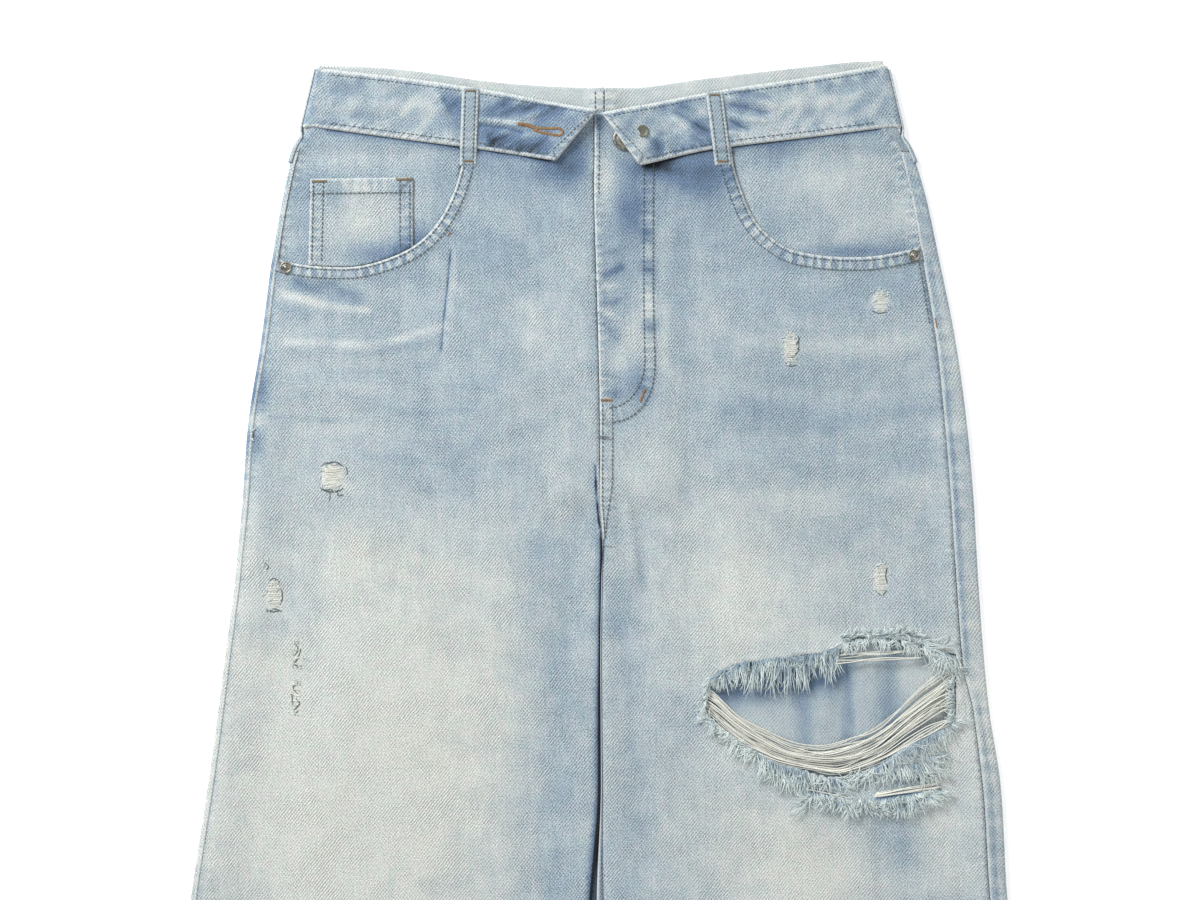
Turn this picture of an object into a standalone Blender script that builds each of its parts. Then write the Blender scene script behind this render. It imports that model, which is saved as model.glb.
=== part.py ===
"""Wide ripped denim jeans laid flat, front up, the waistband turned down over the hips.

The garment lies in the XY plane: +Y runs from the hems to the waist, +X is the wearer's
left, +Z is up from the surface it rests on. `down` is the distance below the highest
point of the waist. Every piece of cloth is a middle surface with a Solidify wall.
Sizes are in millimetres until to_world() turns them into metres.
"""
import math
from collections import namedtuple

import bpy
from mathutils import Vector
from mathutils.geometry import delaunay_2d_cdt

MM = 0.001
RIGHT, LEFT = -1, 1                 # wearer's sides, as the sign of X

# ---- driving sizes -------------------------------------------------------------------
LENGTH = 1100.0                     # waist to hem
WALL = 1.2                          # one layer of denim
BAND_WALL = 1.8                     # waistband, two layers sewn together
THREAD_WALL = 1.0                   # loose threads and fringe
GAP = 0.3                           # clearance between pieces sewn together
PITCH = WALL + 0.4                  # one layer lying on another, middle to middle
CROTCH = 374.0
LOOP_WIDTH = 11.5
ROLL_REACHES = (1.5, 2.9)           # stations round the rolled inner edge of a leg

# Heights of the middle surfaces
Z_BACK = WALL / 2
Z_BAND_BACK = BAND_WALL / 2
Z_BACK_ON_BAND = BAND_WALL + GAP + WALL / 2
Z_HIP = Z_BACK + 3 * PITCH          # back pocket, back, facing and front on each other
Z_FLY = Z_HIP + 0.4
Z_LEG = Z_BACK + PITCH + 0.3        # front of a leg lying on its back
Z_INSEAM = 4.2                      # top of the rounded inner edge of a leg
Z_RIP = 5.0                         # cloth round the rip stands off the back
BAND_RISE = (WALL + BAND_WALL) / 2 + GAP        # band over front panel
LOOP_RISE = (WALL + BAND_WALL) / 2 + GAP        # loop over band
PATCH_RISE = (WALL + THREAD_WALL) / 2 + GAP     # fringe over front panel

# One row for each level: half widths of the panels' outline, how far inside it the side
# seams run on the front, and X of the legs' inner edges (the centre seam above the crotch)
Level = namedtuple("Level", "down outer_r outer_l seam_r seam_l inner_r inner_l")
LEVELS = (
    Level(0.0, 210.8, 210.8, 4.2, 9.5, -4.2, -3.9),
    Level(51.0, 221.8, 221.8, 4.2, 10.5, -3.8, -3.5),
    Level(64.0, 230.2, 230.4, 4.2, 8.5, -3.4, -3.1),
    Level(90.0, 237.2, 240.0, 4.2, 10.5, -2.7, -2.4),
    Level(150.0, 248.0, 253.5, 4.6, 12.5, -1.2, -0.9),
    Level(210.0, 256.0, 265.5, 4.8, 14.5, 0.4, 0.7),
    Level(270.0, 265.5, 273.8, 4.4, 16.5, 1.9, 2.2),
    Level(330.0, 270.0, 279.2, 4.6, 17.0, 1.7, 2.0),
    Level(390.0, 275.8, 282.6, 4.2, 16.5, 0.9, 1.3),
    Level(450.0, 283.5, 287.0, 4.2, 16.5, -0.2, 0.3),
    Level(490.0, 288.6, 291.2, 4.4, 12.0, -0.5, 0.1),
    Level(540.0, 295.5, 299.0, 4.4, 13.5, -0.9, 0.0),
    Level(630.0, 309.0, 304.6, 4.4, 13.0, -7.5, 0.9),
    Level(860.0, 337.0, 332.0, 4.4, 12.0, -26.0, 20.0),
    Level(LENGTH, 354.0, 354.0, 4.4, 12.0, -44.0, 44.0),
)

# Waist lines against |X|: the fold along the front and the turned-down band's lower edge
Waist = namedtuple("Waist", "x fold_r fold_l low_r low_l")
WAIST = (
    Waist(0.0, 38.5, 40.0, 79.5, 84.5),
    Waist(30.0, 33.0, 34.0, 75.0, 77.6),
    Waist(75.0, 24.4, 25.2, 68.0, 66.8),
    Waist(98.0, 20.5, 21.2, 64.6, 63.4),
    Waist(155.0, 12.6, 13.0, 57.2, 56.6),
    Waist(215.0, 6.2, 3.0, 49.0, 49.0),
)
BACK_TOP = ((-215.0, 5.2), (-196.0, 4.2), (-151.0, 7.5), (-106.0, 13.5), (-61.0, 18.0),
            (-5.0, 20.3), (28.0, 20.2), (73.0, 14.2), (118.0, 9.0), (163.0, 4.5), (208.0, 0.0))
BAND_LOW_BACK = ((-215.0, 50.5), (-150.0, 53.0), (-61.0, 64.0), (-5.0, 66.3), (28.0, 66.2),
                 (73.0, 60.5), (150.0, 52.0), (215.0, 50.5))
BAND_OUTER = ((0.0, 213.6), (5.0, 214.6), (50.0, 225.2))
FLAP_END = {RIGHT: (-4.4, -35.0), LEFT: (0.8, 28.5)}      # X at the fold, X at the low edge
YOKE_SEAM = ((0.0, 88.0), (235.0, 68.0))
BACK_SEAM_X = 2.0

# Pocket mouths, from the waist fold to the side seam, as (|X|, down)
MOUTH = {
    RIGHT: ((103.0, 60.0), (105.0, 78.0), (110.3, 96.8), (121.5, 119.3), (136.5, 135.8),
            (159.0, 147.8), (192.8, 155.0), (219.0, 153.8), (239.0, 150.6)),
    LEFT: ((96.5, 60.0), (98.6, 78.0), (107.3, 104.3), (126.0, 130.5), (148.5, 145.5),
           (178.5, 151.4), (208.5, 150.8), (236.0, 145.0)),
}
FACING_TUCK = 12.0                  # how far a facing reaches behind the front panel
COIN = {"left": 220.0, "right": 142.0, "top": 87.5}

POCKET = {"inner": 44.0, "outer": 180.0, "top": 106.0, "shoulder": 226.0, "tip": 251.0}
SHIELD = {"inner": -8.0, "outer": 31.0, "top": 84.0, "bottom": 276.0}

LOOP_FRONT = {RIGHT: (-98.5, -100.5), LEFT: (84.0, 91.0)}   # X of its top and lower ends
LOOP_DROP = 14.0                    # how far a loop reaches below the band
SIDE_LOOP_END = 76.0
BACK_LOOP_END = 75.0

RIVET_AT = {RIGHT: (-237.0, 155.0), LEFT: (234.0, 146.0)}
BUTTON_AT = (16.5, 58.5)
TACK_AT = (30.2, 53.3)
BUTTON_RADIUS, BUTTON_HEIGHT = 8.5, 2.2

# The rip, as (X, down): the torn upper and lower edges of the hole, left to right
RIP_UPPER = ((77.5, 478.0), (80.0, 468.5), (101.0, 453.5), (123.0, 450.0), (152.0, 445.5),
             (177.0, 441.5), (190.0, 433.0), (209.0, 432.8), (229.0, 435.0), (248.0, 440.0),
             (266.0, 445.0))
RIP_LOWER = ((77.5, 491.0), (96.0, 505.5), (118.5, 520.5), (148.5, 531.5), (178.5, 537.5),
             (208.5, 528.0), (238.5, 506.0), (266.0, 494.0))
# Lower edge of the upper fringe, and the top strand of the threads that cross the hole
FRINGE_EDGE = ((90.0, 468.0), (110.0, 468.0), (137.0, 472.0), (150.0, 463.0), (180.0, 458.5),
               (208.0, 452.5), (236.0, 450.0), (252.0, 463.0), (264.8, 466.0))
THREAD_EDGE = ((79.0, 481.0), (90.0, 484.0), (107.0, 498.0), (133.5, 513.0), (156.0, 515.5),
               (186.0, 509.5), (208.5, 494.5), (231.0, 478.0), (246.0, 471.0), (264.5, 470.5))
MIDDLE_FRAY = ((104.0, 515.0, 12.0), (135.0, 530.5, 14.0), (165.0, 539.0, 13.0),
               (195.0, 536.0, 12.0), (222.0, 523.0, 15.0), (256.0, 511.0, 17.0))
LOWER_FRAY = ((142.0, 555.5, 10.0), (165.0, 562.5, 9.0), (190.0, 565.5, 9.0),
              (222.0, 559.0, 9.0), (256.0, 551.5, 8.0))


# ---- curves and blends ---------------------------------------------------------------
def profile(rows):
    """Smooth curve through (station, value) rows, held level past its two ends."""
    at = [row[0] for row in rows]
    value = [row[1] for row in rows]
    chord = [(value[i + 1] - value[i]) / (at[i + 1] - at[i]) for i in range(len(at) - 1)]
    inner = [(a + b) / 2 if a * b > 0 else 0.0 for a, b in zip(chord, chord[1:])]
    slope = [chord[0]] + inner + [chord[-1]]

    def curve(station):
        if station <= at[0]:
            return value[0]
        if station >= at[-1]:
            return value[-1]
        i = max(k for k in range(len(at) - 1) if at[k] <= station)
        step = at[i + 1] - at[i]
        u = (station - at[i]) / step
        return (value[i] * (1 + 2 * u) * (1 - u) ** 2 + slope[i] * step * u * (1 - u) ** 2
                + value[i + 1] * u * u * (3 - 2 * u) - slope[i + 1] * step * u * u * (1 - u))
    return curve


def mix(a, b, weight):
    return a + (b - a) * weight


def fade(value, full, none):
    """1 up to `full`, easing to 0 at `none`, whichever of the two is larger."""
    u = min(1.0, max(0.0, (value - full) / (none - full)))
    return 1.0 - u * u * (3.0 - 2.0 * u)


def between(low, high, count):
    return [mix(low, high, i / (count - 1)) for i in range(count)]


def column(table, key, name):
    return profile([(getattr(row, key), getattr(row, name)) for row in table])


OUTER = {RIGHT: column(LEVELS, "down", "outer_r"), LEFT: column(LEVELS, "down", "outer_l")}
SEAM = {RIGHT: column(LEVELS, "down", "seam_r"), LEFT: column(LEVELS, "down", "seam_l")}
INNER = {RIGHT: column(LEVELS, "down", "inner_r"), LEFT: column(LEVELS, "down", "inner_l")}
FOLD = {RIGHT: column(WAIST, "x", "fold_r"), LEFT: column(WAIST, "x", "fold_l")}
LOW = {RIGHT: column(WAIST, "x", "low_r"), LEFT: column(WAIST, "x", "low_l")}
back_top = profile(BACK_TOP)
band_low_back = profile(BAND_LOW_BACK)
band_outer = profile(BAND_OUTER)
yoke_seam = profile(YOKE_SEAM)


# ---- heights of the layers -----------------------------------------------------------
def inner_x(side, down, top):
    """Inner edge of the top or bottom layer: the seat seam lies apart from the fly."""
    if top:
        return INNER[side](down)
    return mix(INNER[side](down), BACK_SEAM_X, fade(down, 180.0, 340.0))


def across(side, x, down):
    """0 at the inner edge of the back, 1 at its outer fold."""
    inner = inner_x(side, down, top=False)
    return (x - inner) / (side * OUTER[side](down) - inner)


def z_back(side, x, down):
    """Middle of the back: flat on the surface, lifted by the band, loop and pocket."""
    z = mix(Z_BACK, Z_BACK_ON_BAND, fade(down, band_low_back(x) + 1.5, band_low_back(x) + 10))
    f = across(side, x, down)
    z += (WALL + GAP) * fade(f, 0.035, 0.06) * fade(down, BACK_LOOP_END + 1, 87.0)
    over_pocket = fade(f, 0.12, 0.06) * fade(f, 0.80, 0.87)
    over_pocket *= fade(down, 103.0, 94.0) * fade(down, 256.0, 266.0)
    return z + PITCH * over_pocket


def z_front(side, x, down):
    """Middle of the front: high on the pockets and folded edges, low on the legs."""
    z = mix(Z_LEG, Z_HIP, fade(down, 165.0, 350.0))
    centre = INNER[LEFT](min(down, CROTCH))
    fly = fade(x, centre + 44, centre + 70) * fade(x, centre - 20, centre - 44)
    z = mix(z, Z_FLY, fly * fade(down, 315.0, 345.0))
    z = mix(z, Z_INSEAM, fade(abs(x - INNER[side](down)), 5.0, 34.0) * fade(down, 390.0, 340.0))
    z = mix(z, Z_HIP, fade(OUTER[side](down) - side * x, 8.0, 42.0))
    rip = math.hypot((x - 172.0) / 118.0, (down - 490.0) / 78.0)
    return mix(z, max(z, Z_RIP), fade(rip, 0.75, 1.6))


def z_facing(side, x, down):
    return z_front(side, x, down) - PITCH * fade(down, 71.0, 60.0)


# ---- places on the rolled panels -----------------------------------------------------
def roll_radius(down):
    """Radius of the rounded inner edge; none above the crotch, where the legs join."""
    return (Z_INSEAM - Z_BACK) / 2 * fade(down, 392.0, 352.0)


def inner_roll(side, reach, down, top):
    """A point `reach` along the cloth from the inseam, on the top or the bottom layer."""
    radius = roll_radius(down)
    edge = inner_x(side, down, top)
    share = radius * 2 / (Z_INSEAM - Z_BACK)
    reach = max(reach, mix(GAP / 2, GAP * 1.5, share))
    quarter = radius * math.pi / 2
    if reach < quarter:
        angle = reach / radius
        x = edge + side * (WALL / 2 * share + radius * (1 - math.cos(angle)))
        flat = z_front(side, x, down) if top else z_back(side, x, down)
        turn = radius * (1 - math.sin(angle))
        return x, down, flat - turn if top else flat + turn
    x = edge + side * (WALL / 2 * share + radius + reach - quarter)
    return x, down, z_front(side, x, down) if top else z_back(side, x, down)


def outer_fold(side, down):
    """Centre X, centre Z and radius of the middle surface at the outer edge of a leg."""
    edge = side * OUTER[side](down)
    low, high = z_back(side, edge, down), z_front(side, edge, down)
    radius = (high - low) / 2
    return edge - side * (radius + WALL / 2), (high + low) / 2, radius


def to_world(point):
    x, down, z = point
    return Vector((x * MM, (LENGTH / 2 - down) * MM, z * MM))


# ---- building ------------------------------------------------------------------------
def material(name, colour, roughness, metallic=0.0):
    made = bpy.data.materials.new(name)
    made.use_nodes = True
    shader = made.node_tree.nodes["Principled BSDF"]
    shader.inputs["Base Color"].default_value = (*colour, 1.0)
    shader.inputs["Roughness"].default_value = roughness
    shader.inputs["Metallic"].default_value = metallic
    return made


def cloth(name, points, faces, wall, look):
    """One piece: a middle surface given its wall, half on each side."""
    mesh = bpy.data.meshes.new(name)
    mesh.from_pydata([to_world(p) for p in points], [], faces)
    mesh.materials.append(look)
    piece = bpy.data.objects.new(name, mesh)
    bpy.context.collection.objects.link(piece)
    solid = piece.modifiers.new("Wall", 'SOLIDIFY')
    solid.thickness = wall * MM
    solid.offset = 0.0
    solid.use_even_offset = True
    return piece


def grid_faces(rows, columns):
    return [(r * columns + c, r * columns + c + 1, (r + 1) * columns + c + 1,
             (r + 1) * columns + c) for r in range(rows - 1) for c in range(columns - 1)]


def resample(points, step, closed=False):
    """The polyline with no run longer than `step`."""
    ends = points[1:] + points[:1] if closed else points[1:]
    out = []
    for a, b in zip(points, ends):
        parts = max(1, math.ceil(math.dist(a, b) / step))
        out += [(mix(a[0], b[0], i / parts), mix(a[1], b[1], i / parts)) for i in range(parts)]
    return out if closed else out + [points[-1]]


def smooth(points, step):
    """A curve through all the points, evenly sampled."""
    run = [0.0]
    for a, b in zip(points, points[1:]):
        run.append(run[-1] + math.dist(a, b))
    px = profile([(s, p[0]) for s, p in zip(run, points)])
    py = profile([(s, p[1]) for s, p in zip(run, points)])
    return [(px(s), py(s)) for s in between(0.0, run[-1], max(2, round(run[-1] / step) + 1))]


def inside(point, ring):
    x, y = point
    hit = False
    for (ax, ay), (bx, by) in zip(ring, ring[1:] + ring[:1]):
        if (ay > y) != (by > y) and x < ax + (y - ay) * (bx - ax) / (by - ay):
            hit = not hit
    return hit


def clear_of(point, ring, margin):
    for a, b in zip(ring, ring[1:] + ring[:1]):
        span = (b[0] - a[0], b[1] - a[1])
        length = span[0] ** 2 + span[1] ** 2
        u = ((point[0] - a[0]) * span[0] + (point[1] - a[1]) * span[1]) / max(length, 1e-9)
        u = min(1.0, max(0.0, u))
        if math.dist(point, (a[0] + u * span[0], a[1] + u * span[1])) < margin:
            return False
    return True


def plate(ring, hole=None, extra=(), spacing=(26.0, 34.0)):
    """Triangles that fill a ring less its hole, with a loose grid of points inside."""
    rings = [ring] + ([hole] if hole else [])
    points, edges = [], []
    for loop in rings:
        start = len(points)
        points += loop
        edges += [(start + i, start + (i + 1) % len(loop)) for i in range(len(loop))]
    points += list(extra)
    xs, ys = [p[0] for p in ring], [p[1] for p in ring]
    margin = 0.4 * min(spacing)
    row = 0
    y = min(ys) + spacing[1] / 2
    while y < max(ys):
        x = min(xs) + spacing[0] * (0.5 if row % 2 else 1.0)
        while x < max(xs):
            if (inside((x, y), ring) and all(clear_of((x, y), loop, margin) for loop in rings)
                    and not (hole and inside((x, y), hole))):
                points.append((x, y))
            x += spacing[0]
        y += spacing[1]
        row += 1
    found, _, tris, *_ = delaunay_2d_cdt([Vector(p) for p in points], edges, [], 0, 1e-5)
    found = [tuple(p) for p in found]
    kept = []
    for tri in tris:
        middle = tuple(sum(found[i][k] for i in tri) / 3 for k in (0, 1))
        if inside(middle, ring) and not (hole and inside(middle, hole)):
            kept.append(tuple(tri))
    return found, kept


def plate_cloth(name, ring, height, wall, look, **layout):
    """A piece cut to a ring in plan and laid at height(x, down)."""
    flat, faces = plate(ring, **layout)
    return cloth(name, [(x, down, height(x, down)) for x, down in flat], faces, wall, look)


def turned(name, at, base, outline, look, segments=20):
    """A round piece standing on height `base`: outline is (radius, height) from its axis."""
    x, down = at
    points, faces = [], []
    for radius, height in outline[1:-1]:
        for i in range(segments):
            turn = math.tau * i / segments
            points.append((x + radius * math.cos(turn), down + radius * math.sin(turn),
                           base + height))
    for ring in range(len(outline) - 3):
        for i in range(segments):
            a, b = ring * segments + i, ring * segments + (i + 1) % segments
            faces.append((a, a + segments, b + segments, b))
    bottom, top = len(points), len(points) + 1
    points += [(x, down, base + outline[0][1]), (x, down, base + outline[-1][1])]
    last = (len(outline) - 3) * segments
    for i in range(segments):
        j = (i + 1) % segments
        faces.append((bottom, i, j))
        faces.append((top, last + j, last + i))
    mesh = bpy.data.meshes.new(name)
    mesh.from_pydata([to_world(p) for p in points], [], faces)
    mesh.materials.append(look)
    mesh.shade_smooth()
    mesh.set_sharp_from_angle(angle=math.radians(40))
    piece = bpy.data.objects.new(name, mesh)
    bpy.context.collection.objects.link(piece)
    return piece


# ---- outlines ------------------------------------------------------------------------
def seam_x(side, down, gap=GAP):
    """X of the front panel's outer edge, where it meets the back at the side seam."""
    return side * (OUTER[side](down) - SEAM[side](down) - gap)


def mouth(side, offset, step=9.0):
    """The pocket mouth from waist fold to side seam, moved `offset` away from the hand."""
    points = [(side * x, down) for x, down in MOUTH[side]]
    curve = smooth([(points[0][0], FOLD[side](abs(points[0][0])) + GAP)] + points, step)
    end = curve[-1][1] - 1.5
    curve.append((seam_x(side, end), end))
    moved = []
    for i, point in enumerate(curve):
        before, after = curve[max(0, i - 1)], curve[min(len(curve) - 1, i + 1)]
        along = (after[0] - before[0], after[1] - before[1])
        length = math.hypot(*along)
        reach = offset(point[1]) if callable(offset) else offset
        moved.append((point[0] - side * along[1] / length * reach,
                      point[1] + abs(along[0]) / length * reach))
    return moved


def front_ring(side):
    centre = lambda down: INNER[side](down) + side * GAP / 2
    mouth_edge = mouth(side, 0.0)
    start = mouth_edge[0]
    waist = [(x, FOLD[side](abs(x)) + GAP) for x in between(centre(40.0), start[0], 5)][:-1]
    side_edge = [(seam_x(side, down), down) for down in between(mouth_edge[-1][1], LENGTH, 34)]
    hem = [(mix(side_edge[-1][0], centre(LENGTH), i / 8), LENGTH) for i in range(1, 8)]
    hem += [(INNER[side](LENGTH) + side * reach, LENGTH) for reach in ROLL_REACHES[::-1]]
    inner = [(centre(down), down) for down in inner_stations(waist[0][1])]
    return waist + mouth_edge + side_edge[1:] + hem + inner[:-1]


def inner_stations(top):
    return between(LENGTH, top, 31)


def build_front(side, name, look, hole=None):
    """A front panel, its inner edge rolled under below the crotch."""
    ring = front_ring(side)
    guides = [(INNER[side](down) + side * reach, down)
              for down in inner_stations(ring[0][1])[1:] if down > CROTCH - 50
              for reach in ROLL_REACHES]
    flat, faces = plate(ring, hole=hole, extra=guides, spacing=(30.0, 40.0))
    points = []
    for x, down in flat:
        points.append(inner_roll(side, side * (x - INNER[side](down)), down, top=True))
    cloth(name, points, faces, WALL, look)


def build_back(side, name, rows, look):
    """A back panel or yoke: under the leg, round its outer fold and up to the side seam."""
    shares = (0.035, 0.06, 0.12, 0.29, 0.46, 0.63, 0.80, 0.87, 0.94)
    points = []
    for row in rows:
        edge_down = row(side * OUTER[side](200.0))
        for reach in (GAP / 2,) + ROLL_REACHES:
            down = row(inner_x(side, row(0.0), top=False) + side * reach)
            points.append(inner_roll(side, reach, down, top=False))
        for share in shares:
            down = row(share * side * 230.0)
            x = mix(inner_x(side, down, top=False), side * OUTER[side](down), share)
            points.append((x, down, z_back(side, x, down)))
        centre_x, centre_z, radius = outer_fold(side, edge_down)
        for angle in (-90.0, -45.0, 0.0, 45.0, 90.0):
            turn = math.radians(angle)
            points.append((centre_x + side * radius * math.cos(turn), edge_down,
                           centre_z + radius * math.sin(turn)))
        seam = seam_x(side, edge_down, gap=0.0)
        for x in (mix(centre_x, seam, 0.5), seam):
            points.append((x, edge_down, z_front(side, x, edge_down)))
    columns = len(points) // len(rows)
    faces = grid_faces(len(rows), columns)
    cloth(name, points, faces if side == LEFT else [f[::-1] for f in faces], WALL, look)


def level(down):
    return lambda x: down


def build_facing(side, name, look):
    """The denim behind a pocket mouth, level with the front where the band covers it."""
    tuck = lambda down: mix(-GAP, FACING_TUCK, fade(down, 104.0, 82.0))
    edge = lambda down: seam_x(side, down, gap=GAP * 5)
    inner = mouth(side, tuck)
    top_x = edge(10.0)
    side_edge = [(edge(down), down) for down in
                 between(inner[-1][1], FOLD[side](abs(top_x)) + GAP, 13)]
    waist = [(x, FOLD[side](abs(x)) + GAP) for x in between(top_x, inner[0][0], 7)]
    ring = inner[:-1] + side_edge + waist[1:-1]
    breaks = [(x, down) for down in (59.0, 71.5)
              for x in between(inner[0][0] + side * 9, edge(down) - side * 9, 5)]
    plate_cloth(name, ring, lambda x, down: z_facing(side, x, down), WALL, look,
                extra=breaks, spacing=(24.0, 22.0))


def build_coin_pocket(look):
    """The small pocket on the right facing; its foot ends at the main pocket's mouth."""
    edge = [p for p in mouth(RIGHT, -0.8)
            if -COIN["left"] < p[0] < -COIN["right"] and p[1] > COIN["top"] + 20]
    edge = [(-COIN["right"], edge[0][1] - 6.0)] + edge + [(-COIN["left"], edge[-1][1])]
    ring = resample(edge + [(-COIN["left"] + 1.5, COIN["top"] + 1.0),
                            (-COIN["right"], COIN["top"])], 26.0, closed=True)
    plate_cloth("coin_pocket", ring, lambda x, down: z_facing(RIGHT, x, down) + PITCH,
                WALL, look)


def build_back_pocket(side, name, look):
    """A patch pocket under the seat, flat on the surface the jeans rest on."""
    centre = (POCKET["inner"] + POCKET["outer"]) / 2
    corners = ((POCKET["inner"], POCKET["top"]), (POCKET["outer"], POCKET["top"]),
               (POCKET["outer"] - 5, POCKET["shoulder"]), (centre, POCKET["tip"]),
               (POCKET["inner"] + 5, POCKET["shoulder"]))
    ring = resample([(side * x, down) for x, down in corners], 40.0, closed=True)
    plate_cloth(name, ring, lambda x, down: WALL / 2, WALL, look, spacing=(45.0, 45.0))


def build_shield(look):
    """The strip that backs the fly, between the front and the back."""
    rows = between(SHIELD["top"], SHIELD["bottom"], 9)
    points = [(INNER[LEFT](down) + x, down, Z_FLY - PITCH)
              for down in rows for x in between(SHIELD["inner"], SHIELD["outer"], 3)]
    cloth("fly_shield", points, grid_faces(len(rows), 3), WALL, look)


# ---- waistband and loops -------------------------------------------------------------
def flap_lift(x, down):
    """The button under the left end of the band holds that end up."""
    away = math.dist((x, down), BUTTON_AT)
    return (BUTTON_HEIGHT + GAP + 0.5) * fade(away, 13.0, 34.0)


def band_front(side, x, share):
    down = mix(FOLD[side](abs(x)), LOW[side](abs(x)), share)
    z = z_front(side, x, down) + BAND_RISE
    return x, down, z + (flap_lift(x, down) if side == LEFT else 0.0)


def band_side(side, share):
    """Level and fold (centre X, centre Z, radius) of the band at the side of the waist."""
    down = mix(4.0, 49.5, share)
    radius = (Z_HIP + BAND_RISE - Z_BAND_BACK) / 2
    centre = side * (band_outer(down) - radius - BAND_WALL / 2)
    return down, centre, Z_BAND_BACK + radius, radius


def build_band(side, name, look):
    """Half the waistband: from its free end in front, round the side, to the back seam."""
    shares = (0.0, 0.25, 0.5, 0.75, 1.0)
    points = []
    for share in shares:
        down, centre, centre_z, radius = band_side(side, share)
        start = mix(*FLAP_END[side], share)
        for x in between(start, centre, 17):
            points.append(band_front(side, x, share))
        for angle in between(90.0, -90.0, 7)[1:]:
            turn = math.radians(angle)
            points.append((centre + side * radius * math.cos(turn), down,
                           centre_z + radius * math.sin(turn)))
        for away in (180.0, 130.0, 80.0, 40.0, 12.0, 7.0, GAP / 2):
            x = BACK_SEAM_X + side * away
            on_loop = (WALL + GAP) * fade(away, 7.0, 12.0)
            points.append((x, mix(back_top(x), band_low_back(x), share),
                           Z_BAND_BACK + on_loop))
    faces = grid_faces(len(shares), len(points) // len(shares))
    cloth(name, points, faces if side == RIGHT else [f[::-1] for f in faces], BAND_WALL, look)


def build_front_loop(side, name, look):
    """A loop over the turned-down band, sewn at the fold and below the band."""
    top_x, low_x = LOOP_FRONT[side]
    fold, low = FOLD[side](abs(top_x)), LOW[side](abs(low_x))
    over = Z_HIP + BAND_RISE + LOOP_RISE
    rows = ((fold + 0.5, over), (mix(fold, low, 0.5), over), (low - 3.0, over),
            (low + 2.0, over), (low + 8.5, Z_HIP + WALL + GAP + 0.2),
            (low + LOOP_DROP, Z_HIP + WALL + GAP))
    points = []
    for down, z in rows:
        x = mix(top_x, low_x, (down - fold) / (low + LOOP_DROP - fold))
        points += [(x + dx, down, z) for dx in between(-LOOP_WIDTH / 2, LOOP_WIDTH / 2, 3)]
    cloth(name, points, grid_faces(len(rows), 3), WALL, look)


def build_side_loop(side, name, look):
    """A loop on the side seam: bent round the edge of the band, sewn to the panel below."""
    points = []
    rows = (6.0, 27.0, 49.0, 63.0, SIDE_LOOP_END)
    for down in rows:
        _, band_x, band_z, radius = band_side(side, (down - 4.0) / 45.5)
        over_band = (band_x, band_z, radius + LOOP_RISE)
        fold_x, fold_z, fold_radius = outer_fold(side, down)
        over_panel = (fold_x, fold_z, fold_radius + WALL + GAP * 3)
        low = fade(down, 60.0, 52.0)
        x, z, bend = (mix(a, b, low) for a, b in zip(over_band, over_panel))
        bottom = math.degrees(math.asin(min(1.0, (z - 0.1) / (bend + WALL / 2 + 0.1))))
        for angle in between(-min(bottom, 45.0), 62.0, 5):
            turn = math.radians(angle)
            points.append((x + side * bend * math.cos(turn), down, z + bend * math.sin(turn)))
    faces = grid_faces(len(rows), 5)
    cloth(name, points, faces if side == LEFT else [f[::-1] for f in faces], WALL, look)


def build_back_loop(look):
    """The loop on the back seam, under the band and flat on the resting surface."""
    rows = between(back_top(BACK_SEAM_X) + 0.5, BACK_LOOP_END, 4)
    points = [(BACK_SEAM_X + dx, down, WALL / 2) for down in rows
              for dx in between(-LOOP_WIDTH / 2, LOOP_WIDTH / 2, 3)]
    cloth("belt_loop_back", points, grid_faces(len(rows), 3), WALL, look)


# ---- rip -----------------------------------------------------------------------------
def rip_height(x, down):
    return z_front(LEFT, x, down)


def build_rip(denim, thread):
    """Fringe and loose threads at the torn edges, as plain solids of their reach."""
    upper = smooth(RIP_UPPER, 14.0)[2:]
    edge = smooth(FRINGE_EDGE, 16.0)
    ring = [(min(x, 264.8), down + 0.8) for x, down in upper]
    ring += [(min(x, 264.8), down) for x, down in edge[::-1]]
    plate_cloth("rip_fringe_upper", ring, rip_height, THREAD_WALL, denim)

    top, foot = smooth(THREAD_EDGE, 16.0), smooth(RIP_LOWER, 16.0)
    ring = top + [(x - 1.0 * (i == 0), down - 0.8) for i, (x, down) in enumerate(foot[::-1])]
    ring = [(min(max(x, 78.6), 264.8), down) for x, down in ring]
    plate_cloth("rip_threads", ring, rip_height, THREAD_WALL, thread)

    for name, rows in (("rip_fringe_middle", MIDDLE_FRAY), ("rip_fringe_lower", LOWER_FRAY)):
        top = smooth([(x, down) for x, down, _ in rows], 16.0)
        foot = smooth([(x, down + reach) for x, down, reach in rows], 16.0)
        plate_cloth(name, top + foot[::-1], lambda x, down: rip_height(x, down) + PATCH_RISE,
                    THREAD_WALL, denim)


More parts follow.
